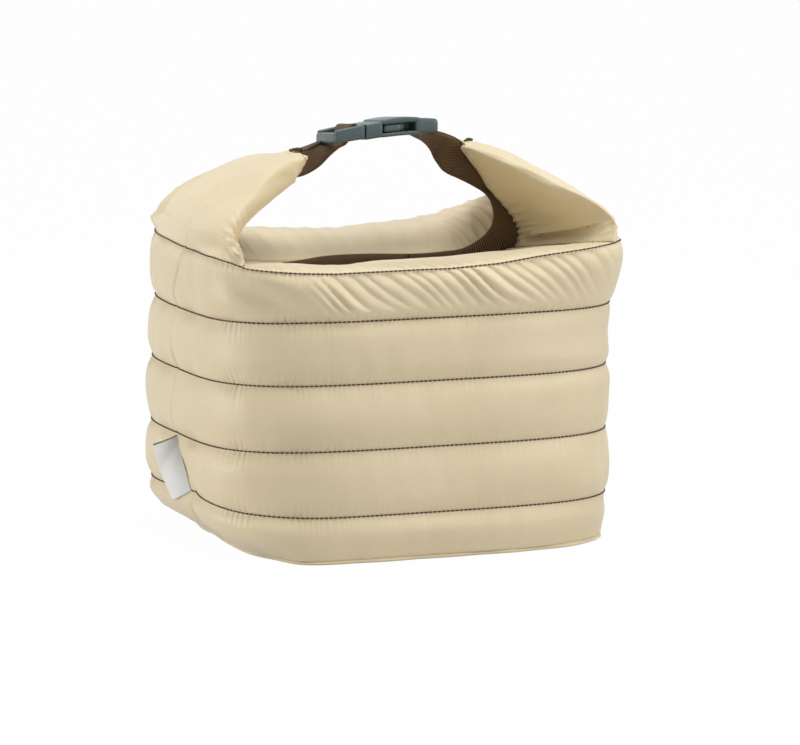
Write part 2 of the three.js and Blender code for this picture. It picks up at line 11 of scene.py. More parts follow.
import bpy
import numpy as np
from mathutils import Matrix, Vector


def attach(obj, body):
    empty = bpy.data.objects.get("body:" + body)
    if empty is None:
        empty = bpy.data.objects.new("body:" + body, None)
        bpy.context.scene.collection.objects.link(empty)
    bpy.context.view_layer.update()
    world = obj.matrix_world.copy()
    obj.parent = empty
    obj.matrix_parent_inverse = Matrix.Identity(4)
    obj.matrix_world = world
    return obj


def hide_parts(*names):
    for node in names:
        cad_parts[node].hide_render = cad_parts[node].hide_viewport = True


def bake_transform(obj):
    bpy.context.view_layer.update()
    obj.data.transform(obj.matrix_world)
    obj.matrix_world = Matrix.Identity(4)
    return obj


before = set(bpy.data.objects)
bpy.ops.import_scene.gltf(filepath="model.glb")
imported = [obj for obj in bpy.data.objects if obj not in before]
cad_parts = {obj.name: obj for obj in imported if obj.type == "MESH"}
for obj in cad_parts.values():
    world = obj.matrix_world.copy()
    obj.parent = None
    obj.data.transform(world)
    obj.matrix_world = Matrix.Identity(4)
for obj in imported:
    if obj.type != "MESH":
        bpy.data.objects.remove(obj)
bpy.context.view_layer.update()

# %% [markdown]
# ## A grid becomes a mesh
# Nearly every piece of cloth here is a grid of points: rows along the piece and columns across it. One
# helper turns such a grid into a mesh in metres. It also writes UVs in millimetres of cloth, measured along
# the grid itself, so that woven patterns keep one scale on every piece and stay put when the cloth bends.


# %% From grids of points to objects
MM = 0.001


def distances(line):
    """How far each point of a line lies along it."""
    return np.concatenate([[0], np.cumsum(np.linalg.norm(np.diff(line, axis=0), axis=1))])


def at_distance(at, travelled, line):
    """The points of a line at one or more distances along it."""
    return np.stack([np.interp(at, travelled, line[:, k]) for k in range(3)], axis=-1)


def cloth_lengths(points):
    """How far each grid point lies along its row and along its column, in millimetres of cloth."""
    across = np.linalg.norm(np.diff(points, axis=1), axis=2).mean(axis=0)
    along = np.linalg.norm(np.diff(points, axis=0), axis=2).mean(axis=1)
    return np.concatenate([[0], np.cumsum(along)]), np.concatenate([[0], np.cumsum(across)])


def make_object(name, vertices, faces, finish, uvs=None):
    """An object with smooth faces from vertices in millimetres."""
    mesh = bpy.data.meshes.new(name)
    mesh.from_pydata((np.asarray(vertices) * MM).tolist(), [], faces)
    mesh.polygons.foreach_set("use_smooth", [True] * len(mesh.polygons))
    if uvs is not None:
        layer = mesh.uv_layers.new(name="cloth")
        layer.data.foreach_set("uv", np.asarray(uvs, float).ravel())
    mesh.update()
    piece = bpy.data.objects.new(name, mesh)
    bpy.context.collection.objects.link(piece)
    mesh.materials.append(finish)
    print(f"{name}: {len(vertices)} points")
    return piece


def cloth(name, points, finish, closed=False, capped=False):
    """An object from a grid; closed joins its last column to the first, and capped adds flat ends."""
    rows, columns = points.shape[:2]
    along, across = cloth_lengths(points)
    strips = columns if closed else columns - 1
    row, column = np.meshgrid(np.arange(rows - 1), np.arange(strips), indexing="ij")
    row, column = row.ravel(), column.ravel()
    beside = (column + 1) % columns
    here, above = row * columns, (row + 1) * columns
    faces = np.stack([here + column, here + beside, above + beside, above + column], axis=1).tolist()
    across = np.append(across, across[-1] * columns / max(1, columns - 1))
    u = np.stack([across[column], across[column + 1], across[column + 1], across[column]], axis=1)
    v = np.stack([along[row], along[row], along[row + 1], along[row + 1]], axis=1)
    uvs = np.stack([u, v], axis=2).reshape(-1, 2) * MM
    if capped:
        last = rows * columns
        faces += [tuple(range(columns)), tuple(reversed(range(last - columns, last)))]
        uvs = np.concatenate([uvs, np.zeros((2 * columns, 2))])
    piece = make_object(name, points.reshape(-1, 3), faces, finish, uvs)
    if capped:
        for face in piece.data.polygons[len(faces) - 2 :]:
            face.use_smooth = False
    return piece


def grid_normals(points):
    """Unit normals of a grid, from its neighbours on each side."""
    normals = np.cross(np.gradient(points, axis=1), np.gradient(points, axis=0))
    return normals / np.maximum(np.linalg.norm(normals, axis=2, keepdims=True), 1e-9)


# %% [markdown]
# ## Smooth ramps, curves and wrinkles
# A few small tools shape everything else. A ramp goes from 0 to 1 between two values without a corner, and
# a bell rises to 1 and falls away again. A curve runs smoothly through a few points, which is how a pattern
# cutter would mark a ridge or a seam. Wrinkles are sums of waves with random directions and phases: their
# seed is fixed, so the bag creases the same way in every run.


# %% Ramps, curves and wrinkles
def ramp(low, high, value):
    t = np.clip((value - low) / (high - low), 0, 1)
    return t * t * (3 - 2 * t)


def mix(a, b, share):
    return a + (b - a) * share


def bell(value, width):
    return np.exp(-((value / width) ** 2))


def through(points, count):
    """A smooth curve through a few points, sampled evenly in its parameter."""
    points = np.asarray(points, float)
    ends = np.concatenate([[2 * points[0] - points[1]], points, [2 * points[-1] - points[-2]]])
    t = np.linspace(0, len(points) - 1, count)
    start = np.minimum(t.astype(int), len(points) - 2)
    t = (t - start).reshape(-1, *[1] * (points.ndim - 1))
    a, b, c, d = (ends[start + k] for k in range(4))
    square, cube = 2 * a - 5 * b + 4 * c - d, 3 * b - a - 3 * c + d
    return 0.5 * (2 * b + (c - a) * t + square * t**2 + cube * t**3)


def waves(s, z, longest, shortest, count, seed):
    """Random waves over a surface, about -1 to 1; s and z are its two directions in millimetres."""
    random = np.random.default_rng(seed)
    total = np.zeros(np.broadcast(s, z).shape)
    for _ in range(count):
        length = random.uniform(shortest, longest)
        turn = random.uniform(0, math.tau)
        phase = random.uniform(0, math.tau)
        total += np.sin(math.tau * (s * math.cos(turn) + z * math.sin(turn)) / length + phase)
    return total / math.sqrt(count)


def gathers(s, pitch, seed):
    """Irregular folds along a seam, 0 in the valleys and 1 on the sharp crests."""
    bend = waves(s, 0 * s, 9 * pitch, 3 * pitch, 5, seed) * 0.9
    strength = 0.6 + 0.4 * waves(s, 0 * s, 14 * pitch, 5 * pitch, 4, seed + 1)
    return np.abs(np.sin(math.pi * s / pitch + bend)) ** 0.7 * np.clip(strength, 0.4, 1.2)


def folds(s, pitch, seed):
    """Gathers that go in as far as they come out."""
    return gathers(s, pitch, seed) - 0.5


# %% [markdown]
# ## The plan of the body
# Seen from above, the bag is a rectangle with very soft corners. A superellipse draws that outline with a
# single number for how square it is. Its points are spread evenly along the edge, because the stitches and
# the gathers are counted in millimetres of seam and not in degrees.

# %% Sizes and the outline
LENGTH = 260
DEPTH = 210
SQUARENESS = 3.9
SEAM_HEIGHTS = [28.5, 68.3, 108, 145.7, 186]
TOP_BAND, TOP = SEAM_HEIGHTS[-2:]
PUFF, RIGHT_PUFF = 4.0, 2.5
AROUND = 900
OUTLINE_STEPS = 20001


def outline():
    """Points of the plan outline, their outward normals and how far along the edge they lie."""
    angle = np.linspace(0, math.tau, OUTLINE_STEPS)
    power = 2 / SQUARENESS
    x = LENGTH / 2 * np.sign(np.cos(angle)) * np.abs(np.cos(angle)) ** power
    y = DEPTH / 2 * np.sign(np.sin(angle)) * np.abs(np.sin(angle)) ** power
    travelled = np.concatenate([[0], np.cumsum(np.hypot(np.diff(x), np.diff(y)))])
    s = np.linspace(0, travelled[-1], AROUND, endpoint=False)
    x, y = np.interp(s, travelled, x), np.interp(s, travelled, y)
    nx = np.sign(x) * np.abs(2 * x / LENGTH) ** (SQUARENESS - 1) * 2 / LENGTH
    ny = np.sign(y) * np.abs(2 * y / DEPTH) ** (SQUARENESS - 1) * 2 / DEPTH
    size = np.hypot(nx, ny)
    return x, y, nx / size, ny / size, s


ring_x, ring_y, ring_nx, ring_ny, ring_s = outline()
print(f"the seams run {ring_s[-1] + ring_s[1]:.0f} mm round the bag")

# %% [markdown]
# ## The quilted wall
# Wadding pushes each band out between its two seams, so a band is nearly flat in the middle and turns in
# sharply at the stitches. Real bands are never even: the seam draws the cloth into tiny gathers, the left
# end is folded in under the bag like the end of a parcel, and the top band is dragged towards the mouth.
# One function gives the place of any point of the wall, and the stitches use the same function, so that
# they always lie in their groove.

# %% How the wall leaves a plain tube
HEM_HEIGHTS = [2.2, 2.5, 3.2, 5.2, 9.5, 13.5, 18.5, 24, 28.5]
HEM_OUT = [-0.7, -0.1, 0.3, 0.9, 1.9, 2.7, 3.0, 2.1, 0]
TUCK_HEIGHTS = [0, 2, 5, 9, 14, 20, 28.5]
TUCK_DEPTHS = [27, 26.5, 24, 17.5, 7, 1.2, 0]
TUCK_ALONG = [-95, -60, -30, 20, 105]
TUCK_SHARE = [0.9, 0.9, 0.95, 1.07, 1.0]
SAG_AT = [-124, -118, -111, -86, -66, -46, -13, 6, 38, 71, 103, 117, 124]
FRONT_SAG = [2.5, 4.5, 7.6, 10.2, 11.5, 11.2, 11, 11.2, 9.6, 5.8, 2.4, 1.8, 2.6]
BACK_SAG = [1, 1.5, 2, 5, 8, 10, 12, 12, 10, 7, 4, 2, 1]
SEAM_AT = [0, 5, 12, 28, 36, 52, 66]
SEAM_ASIDE = [-4, -6, -15, -20, -14, -6, 0]
SEAM_FORWARD = 15
FOLD_WIDTH = 15
FOLD_HEIGHTS = [0, 14, 28.5, 36, 50, 60, 68.3]
FOLD_DEPTHS = [0, 3.2, 4.6, 5.2, 4.2, 3.2, 0.3]
LIFT_ALONG = [-95, -80, -40, 0, 60]
LIFT_SHARE = [0.5, 0.7, 1.75, 1.7, 1.2]
SEAM_LIFT, CORNER_LIFT = 3.6, 7


def band_share(z):
    """How far up its own band a height lies, and the number of that band."""
    band = np.clip(np.searchsorted(SEAM_HEIGHTS, z, side="right"), 0, len(SEAM_HEIGHTS) - 1)
    low = np.asarray(SEAM_HEIGHTS)[np.maximum(band - 1, 0)]
    high = np.asarray(SEAM_HEIGHTS)[band]
    return np.clip((z - low) / np.maximum(high - low, 1), 0, 1), band


def seam_place(z):
    """Where the left side seam lies: mid-end, but drawn forward in the top band and in the fold."""
    return np.interp(z, SEAM_AT, SEAM_ASIDE) - SEAM_FORWARD * ramp(146, 180, z)


def end_tuck(x, y, z):
    """How far the left end leans in: all along at the floor, and higher up only beside its seam."""
    around = ramp(0.3, 0.9, np.abs(2 * x / LENGTH) ** (SQUARENESS / 2)) * (x < 0)
    beside_seam = bell(y - seam_place(z), FOLD_WIDTH) * np.interp(z, FOLD_HEIGHTS, FOLD_DEPTHS)
    tucked = np.interp(z, TUCK_HEIGHTS, TUCK_DEPTHS) * np.interp(y, TUCK_ALONG, TUCK_SHARE)
    return (tucked + beside_seam) * around


def sag(x, y, rise):
    """How far the seams dip along the front and the back; the corners stay up."""
    front, back = np.interp(x, SAG_AT, FRONT_SAG), np.interp(x, SAG_AT, BACK_SAG)
    return mix(front, back, ramp(-20, 20, y)) * rise


def lift(x, y, z):
    """The folded left end draws its lowest seam up, and its back corner stands off the floor."""
    left = ramp(-68, -122, x)
    seam = SEAM_LIFT * ramp(4, 24, z) * ramp(66, 34, z) * np.interp(y, LIFT_ALONG, LIFT_SHARE)
    return left * (seam + CORNER_LIFT * ramp(45, 105, y) * ramp(26, 2, z))


# %% [markdown]
# The wall's offset is a sum of parts that each have a name. Some are the way that this bag hangs: the flare
# at its front corners, the back drawn in at the top, a dent in the front's top left corner. The others are
# wrinkles: tight gathers beside the stitches, slow waves in the cloth, and the pleats of the top band.

# %% Where a point of the wall lies
FLARE_LEFT, FLARE_RIGHT = 9.0, 9.5
BACK_DRAWN_IN = 7
BACK_CORNER_IN = 3.0
RIGHT_HEM_IN = 2.2
GROOVE_DEPTH, GROOVE_WIDTH = 1.8, 1.4
DENT_X, DENT_Z, DENT_SIZE, DENT_DEPTH = -104, 164, 15, 8
GATHER_PITCH, GATHER_DEPTH = 3.6, 1.6
PLEAT_PITCH, PLEAT_DEPTH = 9.5, 3.5


def hang(x, y, z):
    """What the wall stands out or in by because of the way that the bag hangs."""
    away = np.abs(x)
    flare = ramp(126, TOP, z) * ramp(-32, -80, y) * ramp(60, 110, away)
    drawn_in = ramp(TOP_BAND, TOP, z) * ramp(40, 95, y) * (1 - ramp(60, 115, away))
    back_corner = ramp(0, 60, y) * ramp(-60, -115, x) * ramp(96, 130, z)
    right_hem = ramp(60, 125, x) * np.interp(z, [0, 8, 24, 28.5], [0.6, 1, 1, 0])
    groove = bell(y - np.where(x < 0, seam_place(z), 0), GROOVE_WIDTH) * ramp(20, 60, away)
    dent = bell(x - DENT_X + (z - DENT_Z) * 0.9, DENT_SIZE) * bell(z - DENT_Z, DENT_SIZE)
    outward = flare * np.where(x > 0, FLARE_RIGHT, FLARE_LEFT)
    inward = BACK_DRAWN_IN * drawn_in + BACK_CORNER_IN * back_corner + RIGHT_HEM_IN * right_hem
    return outward - inward - GROOVE_DEPTH * groove - DENT_DEPTH * dent * ramp(-40, -80, y)


def wrinkles(x, y, z, s, band):
    """Gathers beside the stitches, slow waves, and the pleats of the top band's front."""
    nearest = np.min(np.abs(z - np.asarray(SEAM_HEIGHTS).reshape(1, -1)), axis=1).reshape(-1, 1)
    left = 0.5 + 0.7 * ramp(-20, -90, x)
    tight = np.exp(-nearest / (2.2 + 2.2 * left)) * (1 - np.exp(-nearest / 0.8))
    depth = -tight * left * GATHER_DEPTH * gathers(s + 2 * band, GATHER_PITCH, 11)
    depth = depth + 0.6 * waves(s, 2.2 * z, 150, 60, 9, 3) * np.minimum(1, nearest / 8)
    depth = depth + 0.14 * waves(s, 0.35 * z, 26, 12, 9, 4) * np.minimum(1, nearest / 5)
    up = z - TOP_BAND
    slant = s - (TOP - z) * (0.8 + 0.12 * waves(s, 0 * z, 90, 40, 4, 23))
    pulled = folds(slant, PLEAT_PITCH, 28) * ramp(-88, -50, x) * ramp(118, 88, x)
    upright = folds(s, 6.0, 27) * np.exp(-up / 7) * (up > 0)
    pleats = PLEAT_DEPTH * pulled * ramp(2, 14, up) * ramp(-1, 20, up) + 0.5 * upright
    return depth + ramp(-60, -95, y) * ramp(0, 3, TOP - z) * pleats


def wall(z, extra=0.0, wrinkled=True):
    """Points of the wall, a row for each height z and a column for each step round the outline."""
    z = np.asarray(z, float).reshape(-1, 1)
    x, y, nx, ny, s = (v.reshape(1, -1) for v in (ring_x, ring_y, ring_nx, ring_ny, ring_s))
    share, band = band_share(z)
    right = ramp(50, 122, x)
    puffed = mix(PUFF, RIGHT_PUFF, right) * (1 - np.abs(2 * share - 1) ** mix(2.7, 4.6, right))
    out = np.where(z < SEAM_HEIGHTS[0], np.interp(z, HEM_HEIGHTS, HEM_OUT), puffed) + extra
    out = out + hang(x, y, z)
    if wrinkled:
        out = out + wrinkles(x, y, z, s, band)
    px, py = x + nx * out + end_tuck(x, y, z), y + ny * out
    rise = np.clip((z - TOP_BAND) / (TOP - TOP_BAND), 0, 1)
    return np.stack([px, py, np.broadcast_to(z, px.shape) - sag(x, y, rise) + lift(x, y, z)], axis=2)


HEM_ROWS, BAND_ROWS, TOP_BAND_ROWS = 26, 21, 52


def wall_heights():
    """Heights of the rows: close together at each seam, and many in the pleated top band."""
    known = np.linspace(0, 1, len(HEM_HEIGHTS))
    rows = [np.interp(np.linspace(0, 1, HEM_ROWS), known, HEM_HEIGHTS)[:-1]]
    for low, high in zip(SEAM_HEIGHTS[:-1], SEAM_HEIGHTS[1:]):
        count = TOP_BAND_ROWS if high == TOP else BAND_ROWS
        eased = 0.5 - 0.5 * np.cos(np.linspace(0, math.pi, count))
        rows.append((low + (high - low) * eased)[:-1])
    return np.append(np.concatenate(rows), TOP)


# %% [markdown]
# ## Shader maths as plain expressions
# A material is a graph of nodes, but its maths reads better as a formula. This small class wraps one output
# socket and adds a Math node for each operator, so `tone * 0.8 + grain * 0.2` builds three nodes by itself.
# A second class holds the tree: its `node` method makes any other node from its type, its settings and the
# values or links of its sockets. The few kinds of node that every finish needs have a short method of their
# own.


# %% A socket with operators, and a finish to hold the nodes
class Value:
    """An output socket; each operator adds a Math node and returns its output."""

    def __init__(self, finish, socket):
        self.finish = finish
        self.socket = socket

    def maths(self, operation, other):
        return self.finish.node("ShaderNodeMath", {"operation": operation}, {0: self, 1: other})

    def __add__(self, other):
        return self.maths("ADD", other)

    def __mul__(self, other):
        return self.maths("MULTIPLY", other)

    def largest(self, other):
        return self.maths("MAXIMUM", other)

    __radd__ = __add__
    __rmul__ = __mul__


class Finish:
    """The nodes of a material, or of the world."""

    def __init__(self, owner, shader="Principled BSDF"):
        self.owner = owner
        owner.use_nodes = True
        self.nodes = owner.node_tree.nodes
        self.links = owner.node_tree.links
        self.shader = self.nodes[shader]

    def put(self, socket, value):
        if isinstance(value, Value):
            self.links.new(value.socket, socket)
        else:
            socket.default_value = value

    def node(self, kind, settings=None, inputs=None, output=0):
        made = self.nodes.new(kind)
        for name, value in (settings or {}).items():
            setattr(made, name, value)
        for name, value in (inputs or {}).items():
            self.put(made.inputs[name], value)
        return Value(self, made.outputs[output])

    def set(self, **inputs):
        for name, value in inputs.items():
            self.put(self.shader.inputs[name.replace("_", " ")], value)

    def place(self, kind="Object"):
        return self.node("ShaderNodeTexCoord", output=kind)

    def noise(self, place, scale, detail=3.0, roughness=0.55):
        inputs = {"Vector": place, "Scale": scale, "Detail": detail, "Roughness": roughness}
        return self.node("ShaderNodeTexNoise", {}, inputs)

    def ribs(self, uv, scale, direction, distortion=0.0):
        settings = {"wave_type": "BANDS", "bands_direction": direction, "wave_profile": "SIN"}
        inputs = {"Vector": uv, "Scale": scale, "Distortion": distortion}
        return self.node("ShaderNodeTexWave", settings, inputs)

    def between(self, value, low, high):
        """0 where the value is under low, 1 where it is over high."""
        return self.node("ShaderNodeMapRange", {}, {"Value": value, "From Min": low, "From Max": high})

    def blend(self, share, first, second):
        settings = {"data_type": "RGBA", "blend_type": "MIX"}
        opaque = [c if isinstance(c, Value) else (*c, 1) for c in (first, second)]
        return self.node("ShaderNodeMix", settings, {0: share, 6: opaque[0], 7: opaque[1]}, output=2)

    def bump(self, height, distance, strength, normal=None):
        inputs = {"Height": height, "Distance": distance, "Strength": strength}
        if normal is not None:
            inputs["Normal"] = normal
        return self.node("ShaderNodeBump", {}, inputs)


def new_finish(name):
    return Finish(bpy.data.materials.new(name))


# %% [markdown]
# ## Nylon shell
# The outside is a tightly woven nylon with a soft satin sheen. From a step away its weave is far too fine
# to see, so it only breaks up the gloss. What does show is a slow change of tone from piece to piece of
# cloth, and very fine creases. Both are bump and colour from noise, while the real folds are in the mesh.


# %% Nylon
WEAVE_SCALE = 640.0


def nylon(name, light, dark):
    finish = new_finish(name)
    place, uv = finish.place(), finish.place("UV")
    tone = finish.noise(place, 14.0, 4.0)
    grain = finish.noise(place, 420.0, 2.0)
    soft = finish.between(tone * 0.8 + grain * 0.2, 0.35, 0.65)
    finish.set(Base_Color=finish.blend(soft, light, dark))
    threads = finish.ribs(uv, WEAVE_SCALE, "X") + finish.ribs(uv, WEAVE_SCALE, "Y")
    woven = finish.bump(threads, 0.00006, 0.25)
    creases = finish.noise(place, 60.0, 5.0, 0.6)
    finish.set(Normal=finish.bump(creases, 0.0012, 0.28, woven))
    finish.set(Roughness=grain * 0.14 + 0.4)
    finish.set(Sheen_Weight=0.12, Sheen_Roughness=0.4, Specular_IOR_Level=0.42)
    return finish.owner


cream = nylon("cream_nylon", (0.775, 0.662, 0.442), (0.72, 0.607, 0.395))
print("shell finish:", cream.name)

# %% [markdown]
# ## Webbing, thread, plastic and label
# Webbing is woven from thick yarn in fine ribs that run slantwise across the strap, so a wave over its UVs
# gives both the colour and the height. The thread is twisted and nearly black-brown. The buckle is
# injection-moulded plastic: dark slate, a little glossy, with a faint moulded grain. The label is white
# tape: its UVs run outward from the seam and down from the top, so the painted shade that greys it beside
# the seam and the painted dark line of shade along the fold at its top come from them.


# %% The other finishes
def webbing_finish():
    finish = new_finish("brown_webbing")
    uv = finish.place("UV")
    slanted, crossing = finish.ribs(uv, 380.0, "DIAGONAL", 0.5), finish.ribs(uv, 420.0, "Y")
    weave = slanted * 0.65 + crossing * 0.2 + finish.noise(finish.place(), 900.0, 2.0) * 0.3
    share = finish.between(weave, 0.34, 0.78)
    finish.set(Base_Color=finish.blend(share, (0.016, 0.010, 0.003), (0.19, 0.112, 0.052)))
    finish.set(Normal=finish.bump(weave, 0.0005, 0.7))
    finish.set(Roughness=0.75, Specular_IOR_Level=0.25, Sheen_Weight=0.06, Sheen_Roughness=0.5)
    return finish.owner


def thread_finish():
    finish = new_finish("brown_thread")
    twist = finish.noise(finish.place(), 1500.0, 1.0)
    finish.set(Base_Color=finish.blend(twist, (0.035, 0.018, 0.008), (0.12, 0.07, 0.035)))
    finish.set(Normal=finish.bump(twist, 0.0002, 0.5), Roughness=0.7)
    return finish.owner


def buckle_finish():
    finish = new_finish("slate_plastic")
    place = finish.place()
    grain = finish.noise(place, 700.0, 2.0)
    tone = finish.noise(place, 60.0, 3.0)
    finish.set(Base_Color=finish.blend(tone, (0.042, 0.070, 0.076), (0.070, 0.105, 0.108)))
    finish.set(Normal=finish.bump(grain, 0.00008, 0.35), Roughness=grain * 0.12 + 0.3)
    finish.set(Specular_IOR_Level=0.5)
    return finish.owner


def label_finish():
    """White tape with painted shade: greyer beside its seam, and a dark line of shade along the fold at its
    top.
    """
    finish = new_finish("label_tape")
    uv = finish.place("UV")
    weave = finish.ribs(uv, 500.0, "Y")
    outward, down = (finish.node("ShaderNodeSeparateXYZ", {}, {0: uv}, axis) for axis in ("X", "Y"))
    # Painted shade: the tape is greyed beside the seam, and a dark line is painted along the fold at the
    # top.
    clear_of_seam_shade = finish.between(outward, 0.002, 0.014)
    clear_of_fold_shade = finish.between(down, 0.0005, 0.0011)
    tape = finish.blend(clear_of_seam_shade, (0.60, 0.61, 0.59), (0.90, 0.90, 0.89))
    woven = finish.blend(weave * 0.25, tape, (0.72, 0.72, 0.71))
    finish.set(Base_Color=finish.blend(clear_of_fold_shade, (0.10, 0.075, 0.05), woven))
    finish.set(Normal=finish.bump(weave, 0.00012, 0.4), Roughness=0.5, Sheen_Weight=0.2)
    return finish.owner


def lining_finish():
    finish = new_finish("lining_film")
    creased = finish.noise(finish.place(), 90.0, 5.0, 0.65)
    finish.set(Base_Color=finish.blend(creased, (0.50, 0.51, 0.52), (0.62, 0.63, 0.64)))
    finish.set(Normal=finish.bump(creased, 0.002, 0.5), Roughness=0.32, Metallic=0.55)
    return finish.owner


def plain_cloth(name, light, dark, scale):
    finish = new_finish(name)
    grain = finish.noise(finish.place(), scale, 3.0)
    finish.set(Base_Color=finish.blend(grain, dark, light))
    finish.set(Normal=finish.bump(grain, 0.0006, 0.5), Roughness=0.85)
    return finish.owner


webbing = webbing_finish()
thread = thread_finish()
slate = buckle_finish()
tape_white = label_finish()
film = lining_finish()
foam = plain_cloth("closed_foam", (0.82, 0.81, 0.77), (0.72, 0.71, 0.67), 700.0)
board = plain_cloth("base_board", (0.27, 0.21, 0.14), (0.2, 0.15, 0.1), 300.0)
tape_cream = plain_cloth("binding_tape", (0.62, 0.54, 0.36), (0.54, 0.46, 0.3), 800.0)
print(len(bpy.data.materials), "finishes so far")

# %% [markdown]
# ## The body of the bag
# On the real bag the front and the back are two padded panels, sewn together at the ends. They could be two
# grids here too, but a single tube of cloth has no gap to hide, and its two side seams are simply grooves.

# %% Body and base
body = cloth("quilted_body", wall(wall_heights()), cream, closed=True)
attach(body, "bag")
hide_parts("front_shell", "back_shell")

# %% [markdown]
# The real base is one flat piece, sewn in just inside the hem. It could be a filled outline, but that would
# meet the hem in a sharp step. A grid of rings is used instead: the outer rings start flush with the hem
# and roll under, and the inner ones lie flat on the floor.

# %% Base panel
BASE_ROLL = [
    (-1.8, 2.4), (-0.9, 2.2), (-0.3, 1.8), (-0.1, 1.2), (-0.2, 0.6), (-0.9, 0.1), (-3, 0), (-6, 0),
]
BASE_RINGS = (0.93, 0.8, 0.6, 0.35, 0.1)
BASE_OUT, BASE_UNEVEN = 0.7, 0.4


def base_panel():
    floor_line = wall([HEM_HEIGHTS[0]], wrinkled=False, extra=BASE_OUT)[0]
    raised = floor_line[:, 2] - HEM_HEIGHTS[0]
    normal = np.stack([ring_nx, ring_ny], axis=1)
    uneven = BASE_UNEVEN * waves(ring_s, 0 * ring_s, 60, 25, 6, 5)
    rings = []
    for out, height in BASE_ROLL:
        ring = floor_line.copy()
        ring[:, 0] += end_tuck(ring_x, ring_y, height) - end_tuck(ring_x, ring_y, HEM_HEIGHTS[0])
        ring[:, :2] += normal * (out + uneven).reshape(-1, 1)
        ring[:, 2] = height + raised * (0.3 + 0.2 * height)
        rings.append(ring)
    return np.stack(rings + [rings[-1] * share for share in BASE_RINGS])


base = cloth("base_panel", base_panel(), cream, closed=True)
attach(base, "bag")
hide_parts("base_shell")

# %% [markdown]
# ## Stitches
# Each seam shows as a row of short dark stitches, a little sunk into the cloth. A stitch is a small prism
# with pinched ends. They are all laid along one line of points, so a seam of hundreds of stitches is a
# single mesh.


# %% Laying a row of stitches along a line
STITCH_SHAPE = [(0.0, 0.35), (0.18, 1.0), (0.82, 1.0), (1.0, 0.35)]
STITCH_SIDES = 6
STEP = 0.4
END_GAP = 0.5


def stitches(name, line, outward, length=2.5, gap=0.35, width=0.95, proud=0.35):
    """Small stitches along a line of points; outward gives the way that they stand off the cloth."""
    line, outward = np.asarray(line, float), np.asarray(outward, float)
    travelled = distances(line)
    count = int(travelled[-1] / (length + gap))
    starts = np.arange(count) * (travelled[-1] / count)
    turns = range(STITCH_SIDES)
    vertices, faces = [], []
    for start in starts:
        first = len(vertices)
        for share, thick in STITCH_SHAPE:
            at = min(start + share * length, travelled[-1] - END_GAP)
            ahead, behind = (at_distance(at + step, travelled, line) for step in (STEP, -STEP))
            normal = at_distance(at, travelled, outward)
            along = ahead - behind
            side = np.cross(along / np.linalg.norm(along), normal)
            side /= np.linalg.norm(side)
            for turn in turns:
                angle = math.tau * turn / STITCH_SIDES
                sideways, up = math.cos(angle) * width / 2, math.sin(angle) * width / 2 + proud
                vertices.append(at_distance(at, travelled, line) + (side * sideways + normal * up) * thick)
        for ring in range(len(STITCH_SHAPE) - 1):
            for turn in turns:
                a = first + ring * STITCH_SIDES + turn
                b = first + ring * STITCH_SIDES + (turn + 1) % STITCH_SIDES
                faces.append((a, b, b + STITCH_SIDES, a + STITCH_SIDES))
        faces.append(tuple(first + turn for turn in reversed(turns)))
        faces.append(tuple(len(vertices) - STITCH_SIDES + turn for turn in turns))
    return make_object(name, vertices, faces, thread)


# %% Quilting seams
outward = np.stack([ring_nx, ring_ny, 0 * ring_nx], axis=1)
outward = np.concatenate([outward, outward[:1]])
for number, height in enumerate(SEAM_HEIGHTS, start=1):
    seam_line = wall([height])[0]
    row = stitches(f"quilting_stitches_{number}", np.concatenate([seam_line, seam_line[:1]]), outward)
    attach(row, "bag")
    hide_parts(f"quilting_thread_{number}")
    print(f"seam {number}: {len(row.data.vertices) // (len(STITCH_SHAPE) * STITCH_SIDES)} stitches")

# %% [markdown]
# ## The ears
# Each end of the top band is gathered to a point that leans in over the bag. Three lines carry its shape:
# the side seam up its back, the padded ridge where the cloth folds round to the front, and the mouth edge
# where the webbing is sewn. A section through the ear is a smooth curve over those three lines, puffed
# between them, and the ear is the row of such sections from the top seam to the tip.

# %% Guide lines of an ear, as x, y, z of the right one
EAR_SEAM = [
    (124, 0, 185), (121.5, 0, 195), (115, 0, 207), (101, 0, 219.5), (84, 0, 230.5), (68, 0, 236.5),
    (55, 0, 239),
]
EAR_RIDGE = [
    (121, 90, 186), (123, 83, 197), (113.6, 72, 208), (99.5, 56, 217.3), (82.5, 36, 228), (65, 19, 235.5),
    (55, 9, 237.6),
]
EAR_MOUTH = [
    (91, 1.5, 172.5), (92.7, 1.5, 181.5), (89.9, 1.5, 189), (83, 1.5, 199), (74, 1.5, 209),
    (63.4, 1.5, 225), (54.5, 1.5, 236),
]
LEFT_SEAM = [
    (130, -15, 185), (127, -13, 195), (117.8, -9, 207), (104.8, -6, 216.8), (88.8, -4, 226.8),
    (72.8, -2, 232.8), (58.6, 0, 236.3),
]
LEFT_RIDGE = [
    (121, 90, 186), (124, 75, 197), (115.5, 66, 208), (101.5, 54.5, 218.5), (83, 36, 229), (65, 20, 234.6),
    (49.5, 8.5, 235.2),
]
LEFT_MOUTH = EAR_MOUTH[:3] + [(83, 1.5, 198.5), (73.5, 1.5, 207), (63.5, 1.5, 215.5), (52, 1.5, 222)]

# %% [markdown]
# Between its three lines an ear isn't plain. Its mouth edge is rolled inward, its wadding puffs it out
# between the ridge and the seam, and the cloth in front is recessed near the root. Each of these moves a
# few control points of the section by an amount that changes from the root to the tip, so a short list says
# it. The key -1 stands for the left ear and 1 for the right one.

